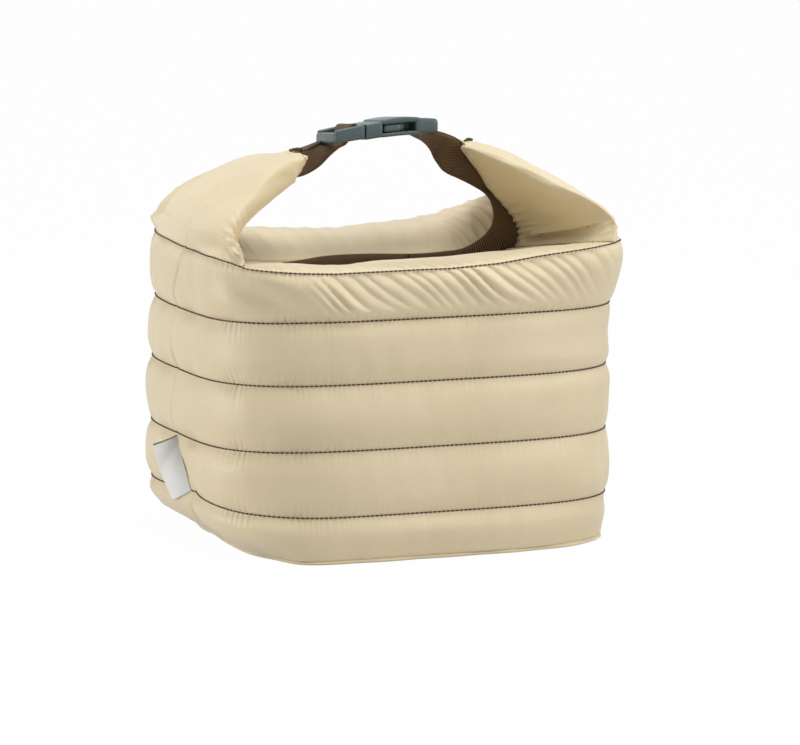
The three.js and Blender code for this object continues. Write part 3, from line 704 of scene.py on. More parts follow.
# %% How an ear is rolled, puffed and creased
EAR_ROLL = {-1: [4, 8, 9, 10.5, 13, 14, 2], 1: [6, 6, 8.5, 11, 11, 8, 3]}
RIGHT_ROLL_WAY = np.array([[-0.8, 0.45, 0.05]])
BACK_ROLL_SHARE = 0.35
PUFF_ALONG, EAR_PUFF = [0, 0.15, 0.35, 0.7, 1], [0.6, 2.6, 3.8, 2.6, 1.2]
INSIDE_ALONG, EAR_INSIDE = [0, 0.15, 0.4, 0.7, 0.9, 1], [0, 1.5, 2.5, 4, 4, 1.5]
DRAWN_ALONG, DRAWN_IN = [0, 0.07, 0.15, 0.3, 0.5, 0.8, 1], [0, 4.5, 10, 9, 5, 2.5, 1.5]
SEAM_SUNK = {-1: 1.8, 1: 0.6}
RECESS_DEPTH = {-1: 1.0, 1: 6.5}
RECESS_ENDS = {-1: (0.50, 0.30), 1: (0.34, 0.16)}
CREASE_DEPTH = {-1: 6.5, 1: 1.0}
EAR_ROWS, HALF_COLUMNS = 120, 72
EAR_ALONG, EAR_ACROSS = 100, 150
RIDGE_PLACE = 5 / 11
ROOT_PULL = 0.10
CORNER_X, CORNER_Y = 120, 92
EAR_WADDING = 0.0022


def ear_half(side, face):
    """Half an ear, from its mouth edge over the ridge to the side seam, in the right ear's place."""
    lines = (EAR_SEAM, EAR_RIDGE, EAR_MOUTH) if side > 0 else (LEFT_SEAM, LEFT_RIDGE, LEFT_MOUTH)
    seam, ridge, mouth = (through(line, EAR_ROWS) for line in lines)
    seam[:, 1] *= face
    v = np.linspace(0, 1, EAR_ROWS).reshape(-1, 1)
    outward = seam - mouth
    outward[:, 1] = 0
    outward[:, 0] = np.maximum(outward[:, 0], 4)
    outward /= np.linalg.norm(outward, axis=1, keepdims=True)
    sideways = np.array([0.0, 1.0, 0.0])
    puff, inside = np.interp(v, PUFF_ALONG, EAR_PUFF), np.interp(v, INSIDE_ALONG, EAR_INSIDE)
    roll = np.interp(v, np.linspace(0, 1, 7), EAR_ROLL[side]) * (1 if face < 0 else BACK_ROLL_SHARE)
    inward = -outward if side < 0 else RIGHT_ROLL_WAY
    controls = [
        mouth,
        mix(mouth, ridge, 0.28) - outward * inside * 0.75,
        mix(mouth, ridge, 0.56) + inward * roll * 0.4 - outward * inside * 0.6,
        mix(mouth, ridge, 0.82) + inward * roll * 0.9,
        mix(mouth, ridge, 0.97) + inward * roll * 0.55 + sideways * 0.6,
        ridge + inward * roll * 0.12 + sideways * 0.5,
        mix(ridge, seam, 0.1) + outward * puff * 0.2,
        mix(ridge, seam, 0.3) + outward * puff * 0.75,
        mix(ridge, seam, 0.6) + outward * puff,
        mix(ridge, seam, 0.85) + outward * puff * 0.7,
        mix(ridge, seam, 0.97) + outward * puff * 0.3,
        seam - outward * SEAM_SUNK[side],
    ]
    section = through(np.stack(controls), HALF_COLUMNS).transpose(1, 0, 2)
    c = np.linspace(0, 1, HALF_COLUMNS).reshape(1, -1)
    if face < 0:
        fold = 0.10 + 0.16 * np.minimum(c, 0.45)
        depth = ramp(fold + 0.010, fold - 0.012, v) * ramp(0.0, 0.06, v) * ramp(*RECESS_ENDS[side], c)
        depth = depth * ramp(-0.02, 0.08, c) * RECESS_DEPTH[side]
        section = section + outward[:, None] * depth[:, :, None]
    else:
        section[:, :, 0] -= np.interp(v, DRAWN_ALONG, DRAWN_IN) * bell(c - 0.5, 0.28)
    section[:, :, 1] *= face
    return section


# %% [markdown]
# At its root each ear has to meet the wall exactly, along the top seam. So the lowest rows are drawn
# towards the seam line of the wall itself. Then the cloth is creased: short gathers across the ridge near
# the root, a deep crease where the folded side starts, and small scallops along the mouth where the webbing
# pulls.


# %% The whole ear
def ring_at_top(side, face, count):
    """The wall's top seam from the front or back corner to the middle of an end."""
    seam_line = wall([TOP], wrinkled=False)[0]
    middle = seam_place(TOP) if side < 0 else 0
    keep = (np.sign(ring_x) == side) & ((ring_y - middle) * face >= 0) & (np.abs(ring_x) > 60)
    points = seam_line[keep]
    points = points[np.argsort(points[:, 1] * face)[::-1]]
    to_corner = np.abs(points[:, 0] * side - CORNER_X) + 0.2 * np.abs(np.abs(points[:, 1]) - CORNER_Y)
    points = points[np.argmin(to_corner) :]
    travelled = distances(points)
    return at_distance(np.linspace(0, travelled[-1], count), travelled, points)


def ear_creases(side, face, v, c):
    """Depth of the creases on half an ear; v runs from root to tip and c from mouth to seam."""
    s, z = c * EAR_ACROSS, v * EAR_ALONG
    from_root = ramp(0.0, 0.1, v)
    depth = 0.6 * waves(s, 1.6 * z, 90, 35, 8, 51 + side) * from_root
    depth = depth + 0.12 * waves(s, z, 22, 9, 8, 61 + side) * from_root
    at_mouth = bell(c, 0.07) * ramp(0.85, 0.5, v) * ramp(0.0, 0.06, v)
    depth = depth + at_mouth * folds(z, 8.5, 41 + side) * 1.6
    if face < 0:
        at_ridge = bell(c - 0.40, 0.11) * ramp(0.42, 0.22, v) * ramp(0.0, 0.05, v)
        depth = depth + at_ridge * folds(z - 40 * c, 7.0, 31 + side) * CREASE_DEPTH[side]
    return depth


def whole_ear(side):
    halves = []
    v = np.linspace(0, 1, EAR_ROWS).reshape(-1, 1)
    across = np.linspace(0, 1, HALF_COLUMNS)
    ridge_column = int(HALF_COLUMNS * RIDGE_PLACE)
    for face in (-1, 1):
        half = ear_half(side, face)
        half[:, :, 0] *= side
        ring = ring_at_top(side, face, HALF_COLUMNS - ridge_column)
        pull = (ramp(ROOT_PULL, 0.0, v) ** 1.5).reshape(-1, 1, 1)
        shift = np.zeros((HALF_COLUMNS, 3))
        shift[ridge_column:] = ring - half[0, ridge_column:]
        fading = (across[:ridge_column] / RIDGE_PLACE).reshape(-1, 1) ** 2
        shift[:ridge_column] = shift[ridge_column] * fading
        half = half + shift * pull
        depth = ear_creases(side, face, v, across.reshape(1, -1))
        halves.append(half + grid_normals(half) * side * face * depth[:, :, None])
    front, back = halves
    return np.concatenate([front, back[:, -2::-1]], axis=1)


def thicken(piece, name, thickness, offset):
    """A layer of wadding or yarn; the offset says on which side of the cloth it lies."""
    layer = piece.modifiers.new(name, "SOLIDIFY")
    layer.thickness = thickness
    layer.offset = offset


for word, side in (("left", -1), ("right", 1)):
    ear = cloth(f"{word}_ear", whole_ear(side), cream)
    thicken(ear, "wadding", EAR_WADDING, -side)
    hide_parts(f"{word}_ear_shell")
    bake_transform(ear)

# %% [markdown]
# ## The folded-in sides
# Between the ears, the long sides of the top band fold down into the mouth. The front one dips as it goes
# in; the back one humps up first and bunches at its ends. They could be draped by a cloth simulation, but
# placed by rule they meet the ears and the webbing exactly, and the same way in every run. Each is a grid
# from the top seam to the mouth, rolled under at the mouth edge, with gathers that run in from the
# stitches.


# %% Front and back flaps
LONG_SIDES = (("front", -1), ("back", 1))
FLAP_ROWS, FLAP_COLUMNS = 60, 220
FLAP_DEPTH, FLAP_HALF = 100, 105
FLAP_WADDING = 0.003
ROOT_HALF, MOUTH_HALF = 119, 91
MOUTH_Y = 5.6
EDGE_ROLL = ((1.0, 0.2), (2.6, 0.3), (4.5, -0.4), (6.5, -1.4))
FRONT_EDGE_AT = [-91, -67, -50, -38, -28, -12, 0, 27, 54, 74, 82, 91]
FRONT_EDGE = [172, 169.5, 166.6, 165.4, 165.8, 167.4, 168, 167.8, 168.6, 169.2, 171.2, 173]
BACK_SWELL_AT = [-1, -0.92, -0.75, 0, 0.45, 0.65, 0.8, 0.92, 1]
BACK_SWELL = [1, 7, 9, 9, 10.5, 12, 15.5, 21, 13]


def flap_base(face, u, v):
    """The folded-in side, unwrinkled; u runs along the bag from -1 to 1, v from top seam to mouth."""
    line = wall([TOP], wrinkled=False)[0][ring_y * face > 60]
    line = line[np.argsort(line[:, 0])]
    root_x = u * ROOT_HALF
    root_y = np.interp(root_x, line[:, 0], line[:, 1])
    root_z = np.interp(root_x, line[:, 0], line[:, 2])
    mouth_x = u * MOUTH_HALF
    share = v**0.92
    x = mix(root_x, mouth_x, share)
    y = mix(root_y, face * MOUTH_Y + 0 * u, share)
    if face < 0:
        mouth_z = np.interp(mouth_x, FRONT_EDGE_AT, FRONT_EDGE)
        swell = 3.4 * np.sin(math.pi * v**0.6) ** 0.7 * (1 - np.abs(u) ** 6)
    else:
        mouth_z = mix(170.5, 174.0, np.abs(u) ** 4)
        swell = np.interp(u, BACK_SWELL_AT, BACK_SWELL) * np.sin(math.pi * v**0.85) ** 0.9
    return np.stack(np.broadcast_arrays(x, y, mix(root_z, mouth_z, share) + swell), axis=2)


def flap(face):
    u = np.linspace(-1, 1, FLAP_COLUMNS).reshape(1, -1)
    v = np.linspace(0, 1, FLAP_ROWS).reshape(-1, 1)
    points = flap_base(face, u, v)
    normals = grid_normals(points) * face
    s, t, crown = u * FLAP_HALF, v * FLAP_DEPTH, np.sin(math.pi * v)
    if face < 0:
        at_root = ramp(0.0, 0.04, v) * ramp(0.6, 0.14, v)
        raised = 2.2 * (gathers(s + 0.25 * t, 7.5, 71) - 0.45) * at_root
        raised = raised + 1.3 * folds(s, 16, 72) * bell(1 - v, 0.16)
    else:
        right_end = ramp(0.52, 0.72, u) * ramp(1.05, 0.8, v) * ramp(0, 0.1, v)
        raised = 1.5 * folds(s + 0.12 * t, 15.0, 73) * crown**0.5
        raised = raised + 4.2 * folds(1.25 * s - 0.35 * t, 8.0, 95) * right_end
        raised = raised + 1.6 * folds(1.2 * s + 0.3 * t, 8.0, 96) * ramp(-0.7, -0.9, u) * crown
    raised = raised + 0.5 * waves(s, t, 70, 30, 8, 81 + face) * crown
    points = points + normals * raised[:, :, None]
    rolled = [points]
    for drop, inward in EDGE_ROLL:
        rolled.append(points[-1:] - np.array([0, face * inward, drop]))
    return np.concatenate(rolled)


def flap_ride(piece):
    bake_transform(piece)


for word, face in LONG_SIDES:
    side_cloth = cloth(f"{word}_folded_side", flap(face), cream)
    thicken(side_cloth, "wadding", FLAP_WADDING, face)
    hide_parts(f"{word}_flap_shell")
    flap_ride(side_cloth)

# %% [markdown]
# Under each folded side lies its lining, a crinkled film. It could be a copy of the cloth above, pushed
# down, but then it would share every wrinkle. So it is a grid of its own from the same smooth function, a
# few millimetres lower and with finer creases. It is a sheet, so its cut size is measured and printed.

# %% Lining of the folded sides
LINING_DROP, LINING_UNEVEN = 6.5, 0.5
LINING_ROWS, LINING_COLUMNS = 40, 120
SEAM_ALLOWANCE = 1.04


def lining_points(face):
    u = np.linspace(-0.93, 0.93, LINING_COLUMNS).reshape(1, -1)
    v = np.linspace(0.07, 0.93, LINING_ROWS).reshape(-1, 1)
    points = flap_base(face, u, v)
    uneven = LINING_UNEVEN * waves(u * FLAP_HALF, v * FLAP_DEPTH, 30, 8, 10, 131 + face)
    points[:, :, 2] -= LINING_DROP - uneven
    return points


def grid_area(points):
    """Area of a grid of points in square metres."""
    a, b = points[1:, 1:] - points[:-1, :-1], points[1:, :-1] - points[:-1, 1:]
    return float(np.linalg.norm(np.cross(a, b), axis=2).sum()) / 2 * MM**2


def cut_size(width, height, allowance):
    """The size in metres that a sheet was cut to, with what its seams take up."""
    return float(width) * MM * allowance, float(height) * MM * allowance


for word, face in LONG_SIDES:
    points = lining_points(face)
    sheet = cloth(f"{word}_side_lining", points, film)
    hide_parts(f"{word}_flap_lining")
    along, across = cloth_lengths(points)
    flat, area = cut_size(along[-1], across[-1], SEAM_ALLOWANCE), grid_area(points)
    flap_ride(sheet)
    print(f"{word} lining: cut {flat[0] / MM:.0f} by {flat[1] / MM:.0f} mm, {area * 1e4:.0f} cm2")

# %% [markdown]
# ## Webbing
# A strap is a ribbon between two edge lines. Giving both edges, and not a middle line with a twist, makes
# it easy to match where each edge is seen: flat along the mouth, turned up into the ears, and on to the
# buckle.


# %% A strap between two edges
STRAP_WIDTH, STRAP_THICKNESS = 24.5, 1.5
STRAP_COLUMNS = 9
STRAP_WAVE = 0.25


def strap(name, first_edge, second_edge, steps, seed=101):
    first, second = through(first_edge, steps), through(second_edge, steps)
    share = np.linspace(0, 1, STRAP_COLUMNS).reshape(1, -1, 1)
    middle = first[:, None] * (1 - share) + second[:, None] * share
    normals = grid_normals(middle)
    travelled = np.linspace(0, distances(first)[-1], steps).reshape(-1, 1)
    uneven = STRAP_WAVE * waves(travelled, share[:, :, 0] * 25, 40, 18, 5, seed)
    middle = middle + normals * uneven[:, :, None]
    top, bottom = middle + normals * STRAP_THICKNESS / 2, middle - normals * STRAP_THICKNESS / 2
    loop = np.concatenate([top, bottom[:, ::-1]], axis=1)
    piece = cloth(name, loop, webbing, closed=True, capped=True)
    print(f"{name}: {distances(first)[-1]:.0f} mm long")
    return piece


MOUTH_EDGE = [
    (-88, 5.0, 171), (-64, 4.6, 168.8), (-48, 4.2, 169.9), (-30, 4.5, 171.7), (-4, 4.4, 171.8),
    (30, 4.5, 170.4), (54, 4.4, 171.4), (66, 4.6, 172.0),
]
mouth_lower_edge = [(x, y + 0.3, z - STRAP_WIDTH) for x, y, z in MOUTH_EDGE]
mouth_strap = strap("mouth_strap", MOUTH_EDGE, mouth_lower_edge, steps=120)
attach(mouth_strap, "back_flap")
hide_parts("mouth_webbing")

# %% [markdown]
# On the right the webbing turns up out of the mouth and stands as a fin along the ear's edge. On the left
# it lies flat behind the rolled front edge, so its outer edge is the ear's own mouth line.

# %% Webbing in the ears
RIGHT_INNER = [
    (22, 1.8, 170.6), (42, 1.2, 171.0), (56, 0.4, 172.6), (68.2, 0, 178.0), (74.6, 0, 183.8),
    (77.4, 0, 190), (76.6, 0, 198.7), (72, 0, 206.0), (63, 0, 211.8), (53.8, 0, 216.4), (46.4, 0, 219.8),
]
RIGHT_OUTER = [
    (22, 1.6, 164), (46, 1.2, 163), (70, 0.6, 164), (88, 0.2, 168), (96.5, 0, 176), (97, 0, 184),
    (93, 0, 192), (86, 0, 201), (77, 0, 212), (69, 0, 222), (62.5, 0, 229.4),
]
right_strap = strap("right_ear_strap", RIGHT_OUTER, RIGHT_INNER, steps=110, seed=112)
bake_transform(right_strap)
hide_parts("right_ear_webbing")

LEFT_OUTER = [(-x, 2.0, z) for x, _, z in LEFT_MOUTH]
LEFT_INNER = [
    (-88, 15, 173), (-88.5, 18, 182), (-86, 19, 190), (-79, 19, 200), (-70, 17, 210), (-59, 11, 222),
    (-52, 4, 230),
]
left_strap = strap("left_ear_strap", LEFT_OUTER, LEFT_INNER, steps=90, seed=110)
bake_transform(left_strap)
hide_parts("left_ear_webbing")

# %% [markdown]
# From each tip the webbing runs on to the buckle, and turns on the way until it lies flat across it. The
# right tail ends at the housing. The left one climbs over a bar of the frame and down again, as the end
# that sets the length does.

# %% Webbing from the tips to the buckle
RIGHT_TAIL_NEAR = [
    (68, 0.4, 223.5), (63, 0.4, 229.8), (57.5, -1.0, 235.4), (50.5, -5.5, 240.6), (43, -9.5, 243.6),
    (36, -11.8, 245.4), (29, -12.4, 246.6), (25, -12.4, 248.2), (24.4, -12.4, 250.6),
]
RIGHT_TAIL_FAR = [
    (50.5, 0.3, 217.8), (46, 0.3, 220.2), (42.4, 0.8, 223.2), (39.6, 3.5, 228.6), (38.2, 7.5, 234.6),
    (34.6, 11, 239.4), (29, 12.4, 242.6), (25, 12.4, 245.2), (24.4, 12.4, 248.2),
]
LEFT_TAIL_NEAR = [
    (-56, 0.6, 221.6), (-50.4, 0.2, 221.5), (-44.6, -1.2, 223.6), (-38.6, -4, 228.2), (-33.6, -8, 235),
    (-29, -11, 240), (-25.4, -12.4, 242.2), (-22.8, -12.4, 245.8), (-22, -12.4, 250.6),
    (-19.4, -12.4, 253.4), (-16.4, -12.4, 250.6), (-16, -12.4, 246.6),
]
LEFT_TAIL_FAR = [
    (-58, 1.2, 234.6), (-52.6, 1.4, 235.6), (-46.6, 2.4, 236.6), (-41, 5, 238.2), (-36.4, 8.4, 239.6),
    (-31.6, 11.4, 240.0), (-26.6, 12.4, 240.4), (-23.4, 12.4, 243.6), (-22.6, 12.4, 248),
    (-20, 12.4, 250.8), (-17, 12.4, 248), (-16.6, 12.4, 244.4),
]
right_tail = strap("right_tail", RIGHT_TAIL_NEAR, RIGHT_TAIL_FAR, steps=90, seed=113)
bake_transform(right_tail)
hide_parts("right_tail_webbing")
left_tail = strap("left_tail", LEFT_TAIL_FAR, LEFT_TAIL_NEAR, steps=110, seed=114)
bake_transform(left_tail)
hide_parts("left_tail_webbing")

# %% [markdown]
# The webbing is doubled near the tips: its loose end comes back over the top of the tail and is caught in
# the ear's point, where a few stitches form a hard dark knot. The knot is laid like a seam, but on a shaken
# line and with a gap below zero, so that its stitches overlap into a lump.

# %% Loose ends and knots
RIGHT_END_NEAR = [
    (66, -0.2, 229.0), (57.6, -1.4, 236.6), (50.0, -5.6, 241.9), (42.5, -9.3, 244.9), (36.5, -11.5, 246.5),
    (31, -12, 247.6),
]
RIGHT_END_FAR = [
    (66, 8.0, 231.0), (57.6, 9.0, 237.4), (50.0, 11.0, 242.3), (42.5, 12.0, 244.9), (36.5, 12.2, 246.1),
    (31, 12.2, 247.0),
]
LEFT_END_NEAR = [
    (-60, 1.0, 234.0), (-52, 1.2, 236.0), (-45, 2.0, 237.9), (-39, 4.4, 239.7), (-33.5, 6.4, 241.4),
]
LEFT_END_FAR = [
    (-60, 13.0, 233.8), (-52, 13.0, 235.6), (-45, 13.0, 237.3), (-39, 13.0, 239.1), (-33.5, 13.0, 240.8),
]
right_end = strap("right_loose_end", RIGHT_END_NEAR, RIGHT_END_FAR, steps=60, seed=115)
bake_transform(right_end)
left_end = strap("left_loose_end", LEFT_END_NEAR, LEFT_END_FAR, steps=50, seed=116)
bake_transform(left_end)

KNOT_POINTS = 20
KNOT_UNEVEN = 0.25
upright = np.tile([0.0, 0, 1], (KNOT_POINTS, 1))
for word, side, tip, away in (
    ("left", -1, (-52.5, 0, 238.4), 9.0),
    ("right", 1, (60.5, 0, 240.2), 6.0),
):
    random = np.random.default_rng(140 + side)
    x, _, z = tip
    line = np.array([(x - away / 2, -1.5, z - 0.6), tip, (x + away / 2, 1.5, z - 0.4)])
    line = through(line, KNOT_POINTS) + random.normal(0, KNOT_UNEVEN, (KNOT_POINTS, 3))
    knot = stitches(f"{word}_tip_knot", line, upright, length=2.6, gap=-1.5, width=1.9, proud=0.2)
    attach(knot, f"{word}_ear")
    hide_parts(f"{word}_bartack")

# %% [markdown]
# ## The side label
# A woven tape, folded in two and caught in the left side seam. It could be a flat card, but a grid between
# its sewn edge and its free edge can bow and curl as cloth does. Its finish paints shade on it: a dark line
# along the fold at the top, which saves a second layer of tape too thin to see, and grey beside the seam.

# %% Side label
LABEL_ROWS, LABEL_COLUMNS = 40, 24
LABEL_ALLOWANCE = 1.05
LABEL_THICKNESS = 0.0009
LABEL_BOW, LABEL_UNEVEN = 1.3, 0.25
SEWN_EDGE = [(-130.6, -0.6, 67.2), (-128.7, -6, 52.8), (-126.1, -15, 34.6)]
FREE_EDGE = [(-144.2, 4, 61.5), (-139.4, 4.6, 44.4), (-132.4, 2.0, 26.6)]


def label_points():
    down = np.linspace(0, 1, LABEL_ROWS).reshape(-1, 1)
    out = np.linspace(0, 1, LABEL_COLUMNS).reshape(1, -1)
    sewn, free = (through(edge, LABEL_ROWS)[:, None] for edge in (SEWN_EDGE, FREE_EDGE))
    points = sewn * (1 - out[:, :, None]) + free * out[:, :, None]
    bow = LABEL_BOW * np.sin(math.pi * out) * (1 - 0.3 * down)
    points[:, :, 1] -= bow + LABEL_UNEVEN * waves(down * 31, out * 17, 22, 10, 5, 151)
    return points


points = label_points()
label = cloth("side_label", points, tape_white)
thicken(label, "weave", LABEL_THICKNESS, 0)
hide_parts("label")
along, across = cloth_lengths(points)
flat = cut_size(across[-1], along[-1], LABEL_ALLOWANCE)
grid_area(points)
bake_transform(label)
print(f"label: cut {flat[0] / MM:.0f} by {flat[1] / MM:.0f} mm, {grid_area(points) * 1e4:.1f} cm2")

# %% [markdown]
# ## The buckle
# A side-release buckle is moulded in two halves. Both follow one gently arched line, so every section below
# is given as its place along that line. A moulding here is a loft: rounded rectangles, one after another,
# closed at the ends. Built from such bars, the buckle is easy to set against its solids, and the eased ends
# catch the light as moulded edges do. Its front edge is a little higher than its back edge.

# %% A moulding from rounded sections
ARCH_AT = [-36, -33, -13.6, -2, 10, 20, 36]
ARCH_MIDDLE = [246.2, 246.6, 249.0, 250.4, 251.2, 251.5, 251.4]
ROLL = 0.085
HALF = 16.5
CORNER_POINTS = 6


def arch(x):
    return np.interp(x, ARCH_AT, ARCH_MIDDLE)


def rounded_section(low, high, corner):
    """Points of a rounded rectangle between two opposite corners, given as pairs of y and height."""
    (y0, z0), (y1, z1) = low, high
    corner = min(corner, (y1 - y0) / 2 - 0.01, (z1 - z0) / 2 - 0.01)
    points = []
    quarter = np.linspace(0, math.pi / 2, CORNER_POINTS)
    for number, (y, z) in enumerate([(y1, z1), (y0, z1), (y0, z0), (y1, z0)]):
        cy = y - math.copysign(corner, y - (y0 + y1) / 2)
        cz = z - math.copysign(corner, z - (z0 + z1) / 2)
        for angle in quarter + number * math.pi / 2:
            points.append((cy + corner * math.cos(angle), cz + corner * math.sin(angle)))
    return points


def moulding(sections):
    """Vertices and faces of a loft; each section is x, the low and high corner, and the corner's radius."""
    rings = []
    for x, low, high, corner in sections:
        section = rounded_section(low, high, corner)
        rings.append([(x, y, arch(x) - ROLL * (y + HALF) + z) for y, z in section])
    rings = np.array(rings)
    rows, columns = rings.shape[:2]
    faces = []
    for here in range(0, (rows - 1) * columns, columns):
        above = here + columns
        for column in range(columns):
            beside = (column + 1) % columns
            faces.append((here + column, here + beside, above + beside, above + column))
    faces.append(tuple(reversed(range(columns))))
    faces.append(tuple(range((rows - 1) * columns, rows * columns)))
    return rings.reshape(-1, 3), faces


def bar(x0, x1, low, high, corner=1.2, grow=None, ease=0.9, steps=8):
    """Sections of a bar with eased ends; grow gives how much higher its top is at a place from 0 to 1."""
    sections = []
    spots = [(0, ease), (0.12 * ease, 0.45 * ease), (0.5 * ease, 0.12 * ease), (ease, 0)]
    first = [(x0 + d, shrink) for d, shrink in spots]
    inner = [(x, 0) for x in np.linspace(x0 + ease, x1 - ease, steps)[1:-1]]
    last = [(x1 - d, shrink) for d, shrink in reversed(spots)]
    for x, shrink in first + inner + last:
        up = grow((x - x0) / (x1 - x0)) if grow else 0
        lowest = (low[0] + shrink, low[1] + shrink)
        highest = (high[0] - shrink, high[1] + up - shrink)
        sections.append((x, lowest, highest, corner))
    return sections


def moulded(name, all_sections, body, node):
    vertices, faces = [], []
    for sections in all_sections:
        points, loops = moulding(sections)
        faces += [tuple(index + len(vertices) for index in loop) for loop in loops]
        vertices += points.tolist()
    piece = make_object(name, vertices, faces, slate)
    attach(piece, body)
    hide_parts(node)


# %% The two halves and the prongs
def rising(t):
    return 0.9 * t


def crowned(t):
    return 1.1 * math.sin(math.pi * (0.1 + 0.9 * t))


frame_bars = [
    bar(-33.9, -30.4, (-HALF + 0.5, -4.1), (HALF - 0.5, 2.6), 1.6, ease=1.3),
    bar(-33.0, -13.9, (-HALF, -4.1), (-HALF + 3.4, 4.0), 1.3, rising),
    bar(-33.0, -13.9, (HALF - 3.4, -4.1), (HALF, 4.0), 1.3, rising),
    bar(-16.6, -13.9, (-HALF + 0.4, -4.0), (HALF - 0.4, 4.8), 1.0, ease=0.6),
    bar(-21.4, -17.6, (-HALF + 2, -3.6), (HALF - 2, 0.4), 1.2),
    bar(-14.4, 0.3, (-4, -2.4), (4, 2.4), 1.0),
    bar(-14.4, -9.5, (-HALF + 4.4, -1.9), (-HALF + 6.4, 1.9), 0.6, ease=0.2),
    bar(-14.4, -9.5, (HALF - 6.4, -1.9), (HALF - 4.4, 1.9), 0.6, ease=0.2),
]
moulded("buckle_frame", frame_bars, "male_half", "buckle_male_frame")

housing = [
    bar(-13.1, -2.3, (-HALF + 0.2, -4.9), (HALF - 0.2, 4.8), 1.5, ease=0.7),
    bar(-2.9, 22.5, (-HALF, 2.7), (HALF, 5.3), 1.2, crowned, steps=14),
    bar(-2.9, 22.5, (-HALF + 0.2, -5.1), (HALF - 0.2, -2.6), 1.1, steps=10),
    bar(-2.9, 22.5, (-7.0, -4.6), (7.0, 4.9), 0.8, steps=6),
    bar(19.4, 34.2, (-HALF + 0.1, -4.6), (HALF - 0.1, 5.1), 2.0, lambda t: -(t**2), ease=1.6),
]
moulded("buckle_housing", housing, "female_half", "buckle_female_housing")

for word, face in LONG_SIDES:
    outer, inner, arm = (face * (HALF - inset) for inset in (0.5, 4.6, 6.2))
    pressed, sprung = sorted((outer, inner)), sorted((inner, arm))
    button = bar(-1.5, 10.8, (pressed[0], -2.35), (pressed[1], 2.45), 1.7, ease=2.2)
    spring = bar(-9.0, 13.0, (sprung[0], -1.9), (sprung[1], 1.9), 0.6, ease=0.3)
    moulded(f"{word}_prong", [button, spring], f"prong_{word}", f"buckle_prong_{word}")

# %% [markdown]
# ## Floor, light and camera
# The object stands in a plain pale studio. A product photo is usually lit by a few large soft lamps. Here a
# low one on the left lights the end of the bag, one at the right front and one overhead share the rest, and
# a weak one in front opens the shadows. The floor and the world are white only to rays from the camera,
# from gloss and through clear things. To all other rays the floor is pale grey and the world is dim, so
# that they add little light. Even to the camera the floor keeps a trace of its grey, which holds the shadow
# of the bag.

# %% Studio
WHITE = (1, 1, 1, 1)
FLOOR_SIZE, FLOOR_DROP = 12, 0.0004
FLOOR_GREY, FLOOR_ROUGHNESS = 0.6, 0.95
FLOOR_SHADOW = 0.015
WORLD_LIGHT = 0.36


def seen_directly(finish):
    """1 for a ray from the camera, from gloss or through something clear; 0 for one that lights the bag."""
    camera, gloss, clear = (
        finish.node("ShaderNodeLightPath", output=f"Is {kind} Ray")
        for kind in ("Camera", "Glossy", "Transmission")
    )
    return camera.largest(gloss).largest(clear)


def studio_floor():
    bpy.ops.mesh.primitive_plane_add(size=FLOOR_SIZE, location=(0, 0, -FLOOR_DROP))
    floor = bpy.context.object
    floor.name = "studio_floor"
    finish = new_finish("studio_floor")
    finish.set(Base_Color=(FLOOR_GREY, FLOOR_GREY, FLOOR_GREY, 1), Roughness=FLOOR_ROUGHNESS)
    share = seen_directly(finish) * (1 - FLOOR_SHADOW)
    white = finish.node("ShaderNodeEmission", {}, {"Color": WHITE, "Strength": 1.0})
    grey = Value(finish, finish.shader.outputs[0])
    both = finish.node("ShaderNodeMixShader", {}, {0: share, 1: grey, 2: white})
    finish.put(finish.nodes["Material Output"].inputs["Surface"], both)
    floor.data.materials.append(finish.owner)


def studio_world():
    world = bpy.data.worlds.new("studio")
    bpy.context.scene.world = world
    finish = Finish(world, "Background")
    finish.set(Color=WHITE, Strength=seen_directly(finish) * (1 - WORLD_LIGHT) + WORLD_LIGHT)


def soft_light(name, place, target, size, power):
    lamp = bpy.data.lights.new(name, "AREA")
    lamp.shape = "RECTANGLE"
    lamp.size, lamp.size_y = size
    lamp.energy = power
    holder = bpy.data.objects.new(name, lamp)
    holder.location = place
    holder.rotation_euler = (Vector(target) - Vector(place)).to_track_quat("-Z", "Y").to_euler()
    bpy.context.collection.objects.link(holder)


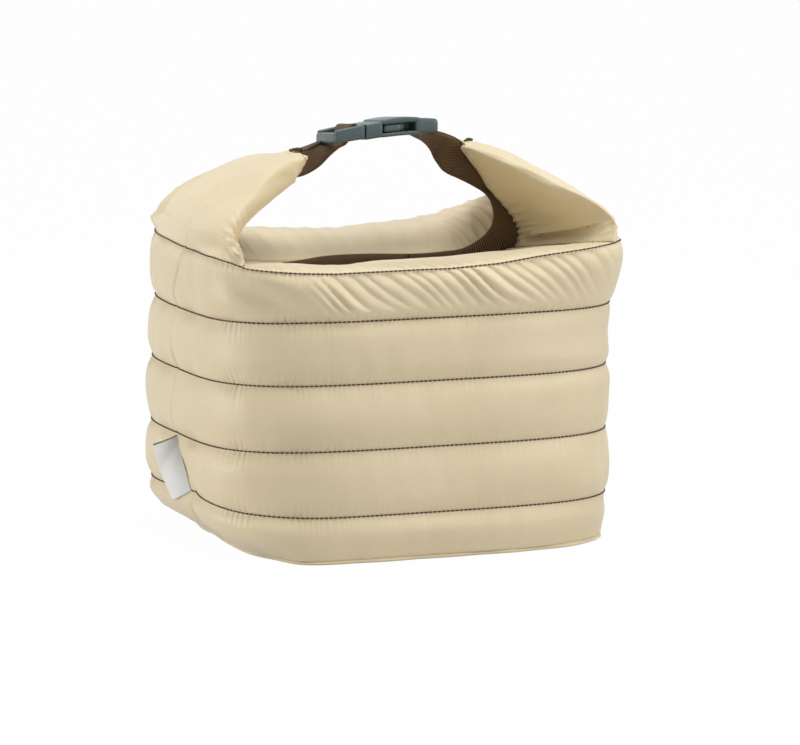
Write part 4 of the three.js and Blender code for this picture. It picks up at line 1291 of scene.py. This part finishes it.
studio_floor()
studio_world()
soft_light("left_softbox", (-1.95, 0.35, 0.10), (0, 0, 0.1), (0.7, 0.5), 21.5)
soft_light("right_softbox", (0.95, -1.0, 0.6), (0, 0, 0.12), (0.7, 0.8), 6.3)
soft_light("top_softbox", (0.1, -0.3, 1.9), (0, 0, 0.15), (0.9, 0.9), 20.4)
soft_light("front_softbox", (-0.1, -1.5, 1.5), (0, 0, 0.15), (0.6, 0.6), 2)
print("lamps:", ", ".join(lamp.name for lamp in bpy.data.lights))

# %% [markdown]
# The camera stands to the front left, a little above the bag, with a long lens. The aim is about 15 mm off
# the bag's middle, because the bag isn't centred in the picture.

# %% Camera
AZIMUTH, ELEVATION = math.radians(21.1), math.radians(8.42)
DISTANCE, FOCAL_LENGTH, FILM_WIDTH = 3.0116, 219.7, 36
VIEW_END = 50
MIDDLE_HEIGHT = 0.0923
AIM_ACROSS, AIM_UP = 0.01428, 0.00595

target = Vector((0, 0, MIDDLE_HEIGHT))
level = math.cos(ELEVATION)
toward_camera = Vector((-math.sin(AZIMUTH) * level, -math.cos(AZIMUTH) * level, math.sin(ELEVATION)))
lens = bpy.data.cameras.new("camera")
lens.lens = FOCAL_LENGTH
lens.sensor_width = FILM_WIDTH
lens.clip_end = VIEW_END
camera = bpy.data.objects.new("camera", lens)
bpy.context.collection.objects.link(camera)
camera.location = target + toward_camera * DISTANCE
camera_right = Vector((0, 0, 1)).cross(toward_camera).normalized()
camera_up = toward_camera.cross(camera_right)
aim = target + camera_right * AIM_ACROSS + camera_up * AIM_UP
camera.rotation_euler = (aim - camera.location).to_track_quat("-Z", "Y").to_euler()
bpy.context.scene.camera = camera
bpy.context.scene.view_settings.view_transform = "Standard"
print("camera at", [round(c, 3) for c in camera.location])

# %% [markdown]
# ## The pieces that keep their solids
# Foam, board, lining and binding tape are hidden inside, and their solids already have the right shape. New
# pieces would add nothing that can be seen, so they only get a finish.

# %% Finishes for the hidden pieces
for node, finish in {
    "foam_wall": foam,
    "foam_base": foam,
    "base_board": board,
    "liner_wall": film,
    "liner_base": film,
    "left_seam_binding": tape_cream,
    "right_seam_binding": tape_cream,
}.items():
    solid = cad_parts[node]
    solid.data.materials.clear()
    solid.data.materials.append(finish)
